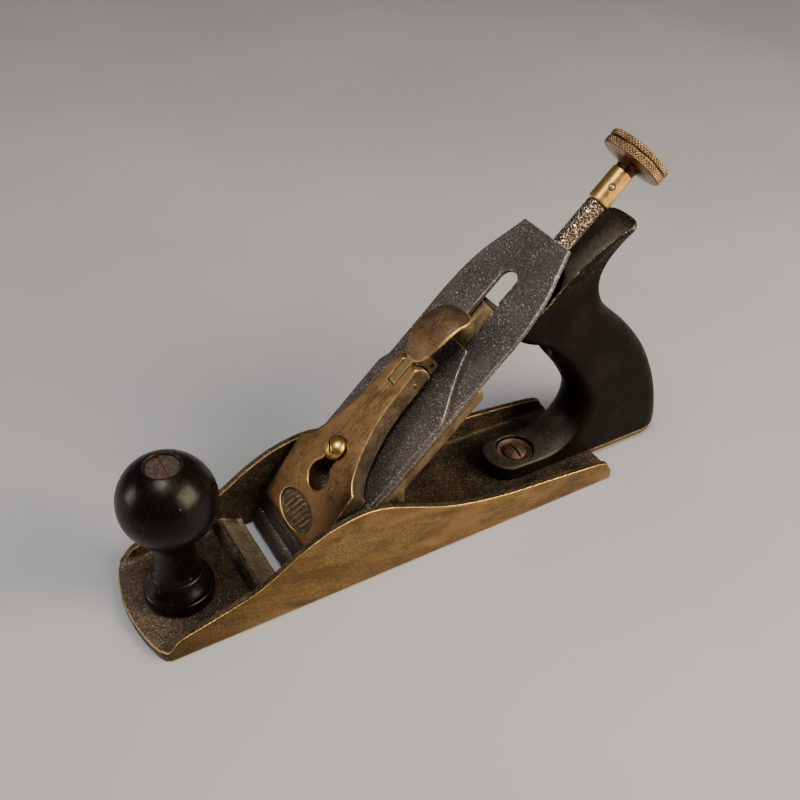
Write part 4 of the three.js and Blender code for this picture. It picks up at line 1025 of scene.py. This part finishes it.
# ---------------------------------------------------------------- screws
def screw_head(name, place, material, body, node, slot, radius, base, top, dome,
               slot_width, slot_depth, step=0.2, slot_axis=0, shank=None, edge=0.35,
               lump=0.10):
    """Domed slotted head, z up; place() moves its points into the main frame.

    slot_axis is the axis the slot's width is measured on; shank is a radius.
    """
    grid = Grid((-radius - 0.8, -radius - 0.8, base - (1.4 if shank else 1.0)),
                (radius + 0.8, radius + 0.8, top + 0.8), step)
    x, y, z = grid.axes
    reach = np.sqrt(x * x + y * y)
    sphere = (radius * radius + dome * dome) / (2 * dome)
    cap = np.sqrt(reach * reach + (z - (top - sphere)) ** 2) - sphere
    field = meet(meet(reach - radius, cap, edge), base - z, edge * 0.6)
    if shank:
        field = np.minimum(field, np.maximum(reach - shank, z - base - 0.8))
    groove = np.maximum(np.abs(grid.axes[slot_axis]) - slot_width / 2, top - slot_depth - z)
    verts, faces, attrs, _ = surface(meet(field, -groove, 0.18), grid, relax=1)
    z = verts[:, 2]
    attrs["slot"] = ((np.abs(verts[:, slot_axis]) < slot_width / 2 + 0.12)
                     & (z > top - slot_depth - 0.3) & (z < top - 0.25 * slot_depth))
    attrs["cav"] = -0.6 * attrs["slot"]
    z += lumps(verts, 1.6, 61, lump) * (z > base + 0.3)
    build(name, place(verts), faces, material, body, slot, node, attrs)


def tote_screw_ring():
    """dished ring under the tote screw's head"""
    grid = Grid((-10, -10, 8.4), (10, 10, 12.6), 0.26)
    x, y, z = grid.axes
    reach = np.sqrt(x ** 2 + y ** 2)
    dish = 10.15 + 1.5 * np.clip((reach - 5.0) / 3.4, 0, 1) ** 2
    field = meet(meet(reach - 8.75, z - dish, 0.4), 9.15 - z, 0.2)
    verts, faces, attrs, _ = surface(meet(field, 3.4 - reach), grid, relax=1)
    attrs["slot"] = np.zeros(len(verts))
    verts[:, 2] += lumps(verts, 2.0, 62, 0.12)
    build("tote_screw_ring", verts + [TOTE_SCREW_X, 0, 0], faces, TOTE_RUST, "base",
          "rusty_steel", "tote_screw_washer", attrs)


def place_cap_screw(verts):
    """turns the slot and stands the screw on the bed"""
    cos, sin = 0.62, 0.784
    x, y, z = verts.T
    return on_bed(np.stack([x * cos - y * sin + CAP_SCREW_ALONG, x * sin + y * cos, z], 1))


def screws():
    screw_head("knob_bolt_head", lambda verts: verts + [KNOB_X, 0, 0], BOLT_RUST, "base",
               "knob_bolt", "rusty_steel", radius=6.75, base=72.0, top=75.9, dome=0.35,
               slot_width=0.95, slot_depth=1.1)
    screw_head("tote_screw_head", lambda verts: verts + [TOTE_SCREW_X, 0, 0], TOTE_RUST,
               "base", "tote_screw", "rusty_steel", radius=5.6, base=10.2, top=12.9, dome=1.6,
               slot_width=1.1, slot_depth=1.7, lump=0.35)
    tote_screw_ring()
    screw_head("lever_cap_screw_head", place_cap_screw, BRASS, "cap_screw", "lever_cap_screw",
               "polished_brass", radius=5.65, base=14.35, top=18.5, dome=3.6, slot_width=0.85,
               slot_depth=1.5, step=0.14, slot_axis=1, shank=2.9, edge=0.5, lump=0.02)


# ---------------------------------------------------------------- adjuster
# its frame: two cross directions, the axis up the bed, the origin; heights run up the axis
ROD_X, ROD_Z = bed_xz(0, ROD_OFF)
ADJUSTER = np.array([(0, 1.0, 0), (-DIAG, 0, DIAG), (DIAG, 0, DIAG), (ROD_X, 0, ROD_Z)])
AXIS, ORIGIN = ADJUSTER[2:]
PIN_HEIGHT = 218.5
PIN_DIR = np.array([-DIAG * DIAG, -DIAG, DIAG * DIAG])
PIN_DIR /= np.linalg.norm(PIN_DIR)


def from_axis(verts):
    """offset from the adjuster's axis, and its length"""
    offset = verts - ORIGIN
    offset = offset - (offset @ AXIS)[:, None] * AXIS
    return offset, np.linalg.norm(offset, axis=1)


def adjuster_rod():
    shaft = [(ROD_RADIUS, height) for height in np.arange(153, 210, 0.45)]
    profile = soft_profile([(0, 152), (3.0, 152), (ROD_RADIUS, 152.2), *shaft,
                            (ROD_RADIUS, 210.3), (3.9, 210.6), (0, 210.6)], 0.3)
    verts, faces = lathe(profile, 72, ADJUSTER)
    offset, radius = from_axis(verts)
    pits = lumps(verts, 1.1, 71, 1.0, middle=0.62).clip(-0.3, 0) * 0.55 * (radius > 3.5)
    verts += offset / np.maximum(radius, 1e-6)[:, None] * pits[:, None]
    build("adjuster_rod_shaft", verts, faces, ROD, "adjuster", "dark_steel", "adjuster_rod")


def along_pin(x, y, z):
    """distance along the cross pin and away from it, in the adjuster's frame"""
    along = x * (PIN_DIR @ ADJUSTER[0]) + y * (PIN_DIR @ ADJUSTER[1])
    away2 = x ** 2 + y ** 2 + (z - PIN_HEIGHT) ** 2 - along ** 2
    return along, np.sqrt(np.maximum(away2, 0))


def adjuster_collar():
    grid = Grid((-6.0, -6.0, 210.0), (6.0, 6.0, 227.6), 0.17)
    x, y, z = grid.axes
    reach = np.sqrt(x ** 2 + y ** 2)
    field = meet(meet(reach - 5.05, 211.0 - z, 0.45), z - 226.9, 0.45)
    field = np.maximum(field, -(reach - 3.2 + 1e3 * (z > 212.4)))
    # countersunk recess at each end of the cross pin
    along, away = along_pin(x, y, z)
    recess = np.maximum(away - 1.5 - 0.25 * (np.abs(along) - 4.9), 4.1 - np.abs(along))
    verts, faces, attrs, _ = surface(np.maximum(field, -recess), grid, relax=1, wear_reach=0.4)
    attrs["cav"] = -0.6 * (along_pin(*verts.T)[1] < 1.75)
    build("adjuster_collar", ORIGIN + verts @ ADJUSTER[:3], faces, COLLAR, "adjuster",
          "polished_brass", attrs=attrs)


def adjuster_wheel():
    hub = soft_profile([(4.2, 226.6), (4.45, 227.0), (4.5, 227.5), (4.3, 227.75), (4.6, 228.0),
                        (4.6, 228.5), (4.4, 228.75), (4.9, 229.1), (5.5, 229.7), (7.2, 230.5),
                        (9.5, 231.0), (13.5, 231.25), (13.9, 231.3)], 0.2)
    verts, faces = lathe(hub, 96, ADJUSTER)
    radius = from_axis(verts)[1]
    # painted shadow: cav here is not a hollow but darkens the hub towards the axis, under the
    # wheel's flare
    build("adjuster_wheel_hub", verts, faces, WHEEL, "adjuster", "polished_brass",
          attrs={"wear": radius * 0, "cav": -0.5 * clamp((10.0 - radius) / 3.0)})

    rim_radius, rim_start, knurls, pitch = 14.72, 231.9, 60, 1.55

    def zigzag(turns):
        return np.abs((turns % 1.0) - 0.5) * 2

    def knurl(radius, height, angles):
        """crossed grooves on the full radius"""
        if radius < 14.6:
            return np.full(len(angles), radius)
        around, up = angles * knurls / (2 * math.pi), (height - rim_start) / pitch
        ridge = np.minimum(zigzag(around + up), zigzag(around - up))
        return radius - 0.62 * (1 - ridge ** 0.7)

    rim = [(13.9, 231.3), (14.3, 231.55),
           *((rim_radius, height) for height in np.linspace(rim_start, 234.45, 22)),
           (14.2, 234.7), (13.9, 235.05), (14.2, 235.4),
           *((rim_radius, height) for height in np.linspace(235.65, 237.5, 16)),
           (14.3, 237.85), (13.6, 238.05)]
    verts, faces = lathe(rim, knurls * 9, ADJUSTER, knurl)
    radius = from_axis(verts)[1]
    build("adjuster_wheel_rim", verts, faces, WHEEL, "adjuster", "polished_brass",
          attrs={"wear": clamp((radius - 14.40) / 0.25) * 0.56,
                 "cav": -0.5 * (1 - clamp((radius - 14.18) / 0.22))})

    face = soft_profile([(13.6, 238.05), (12.6, 238.15), (11.9, 237.7), (8.2, 237.55),
                         (7.7, 237.75), (5.0, 237.75), (4.6, 237.4), (0, 237.35)], 0.3)
    build("adjuster_wheel_face", *lathe(face, 96, ADJUSTER), FACE, "adjuster",
          "polished_brass", "adjuster_knob")


def pins():
    profile = soft_profile([(0, -5.0), (1.0, -5.0), (1.05, 0), (1.0, 5.12), (0, 5.2)], 0.25)
    pin_frame = (AXIS, np.cross(PIN_DIR, AXIS), PIN_DIR, ORIGIN + AXIS * PIN_HEIGHT)
    build("adjuster_cross_pin", *lathe(profile, 28, pin_frame), PIN, "adjuster",
          "bright_steel", "adjuster_pin")
    profile = soft_profile([(0, -7.55), (1.5, -7.5), (1.55, 0), (1.5, 7.5), (0, 7.55)], 0.2)
    x, z = bed_xz(PIVOT_ALONG, PIVOT_OFF)
    pivot_frame = (ADJUSTER[2], ADJUSTER[1], (0, -1, 0), (x, 0, z))
    build("cam_pivot_pin", *lathe(profile, 32, pivot_frame), BRASS, "clamp",
          "polished_brass", "cam_pin")


for make in (body_casting, frog_casting, irons, lever_cap, cam_lever, tote, front_knob, screws,
             adjuster_rod, adjuster_collar, adjuster_wheel, pins):
    make()

# CAD pieces that keep their shape
for material, names in (
        (FROG, ("adjuster_keeper_plate", "adjuster_traveller")),
        (PLAIN, ("keeper_screw_upper", "keeper_screw_lower", "frog_screw_near",
                 "frog_screw_far", "cap_iron_screw", "tote_tail_screw"))):
    for name in names:
        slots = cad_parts[name].data.materials
        slots.clear()
        slots.append(material)


# ---------------------------------------------------------------- floor, lights, camera
def studio_floor():
    mat = Mat("pale_floor")
    color = mat.coat((0.355, 0.343, 0.335), (0.395, 0.382, 0.374), at=(0.3, 0.7),
                     mm=260, rough=0.5)
    relief = mat.relief((mat.noise(mm=1.2, detail=2, rough=0.5), 0.15, 0.05))
    mat.finish(color, 0.55, relief, metal=0.0)
    bpy.ops.mesh.primitive_plane_add(size=6, location=(0, 0, -0.0001))
    floor = bpy.context.object
    floor.name = "studio_floor"
    floor.data.materials.append(mat.material)


def softbox(name, direction, distance, size, power, color):
    """area light aimed at the plane's middle; lengths in metres"""
    target = Vector((0.0, 0, 0.045))
    light = bpy.data.lights.new(name, "AREA")
    light.shape = "RECTANGLE"
    light.size, light.size_y = size
    light.energy, light.color = power, color
    obj = bpy.data.objects.new(name, light)
    location = target + Vector(direction).normalized() * distance
    obj.location = location
    obj.rotation_euler = (target - location).to_track_quat("-Z", "Y").to_euler()
    bpy.context.scene.collection.objects.link(obj)


def camera():
    azimuth, height, roll = map(math.radians, (-32.86, 38.98, 3.37))
    distance, shift_right, shift_up = 459.0, 11.4, 56.2     # mm, in the view's own axes
    data = bpy.data.cameras.new("view")
    data.sensor_width, data.lens = 36.0, 44.45055
    data.clip_start, data.clip_end = 0.01, 20
    obj = bpy.data.objects.new("view", data)
    bpy.context.scene.collection.objects.link(obj)
    back = Vector((math.sin(azimuth) * math.cos(height), -math.cos(azimuth) * math.cos(height),
                   math.sin(height)))
    level = Vector((0, 0, 1)).cross(back).normalized()
    upright = back.cross(level)
    right = math.cos(roll) * level + math.sin(roll) * upright
    up = -math.sin(roll) * level + math.cos(roll) * upright
    place = (back * distance + right * shift_right + up * shift_up) / 1000
    obj.matrix_world = Matrix((*zip(right, up, back, place), (0, 0, 0, 1)))
    bpy.context.scene.camera = obj


studio_floor()
world = bpy.data.worlds.new("studio")
bpy.context.scene.world = world
world.use_nodes = True
background = world.node_tree.nodes["Background"]
background.inputs["Color"].default_value = (0.90, 0.90, 0.92, 1)
background.inputs["Strength"].default_value = 0.11
softbox("key_softbox", direction=(0.52, -0.68, 0.52), distance=1.15, size=(0.80, 0.75),
        power=25, color=(1.0, 0.90, 0.75))
softbox("left_strip", direction=(-0.93, 0.36, 0.24), distance=1.1, size=(0.38, 0.44),
        power=3.6, color=(1.0, 0.93, 0.84))
softbox("top_panel", direction=(-0.22, -0.12, 0.97), distance=1.25, size=(0.48, 0.48),
        power=12, color=(0.92, 0.96, 1.0))
camera()
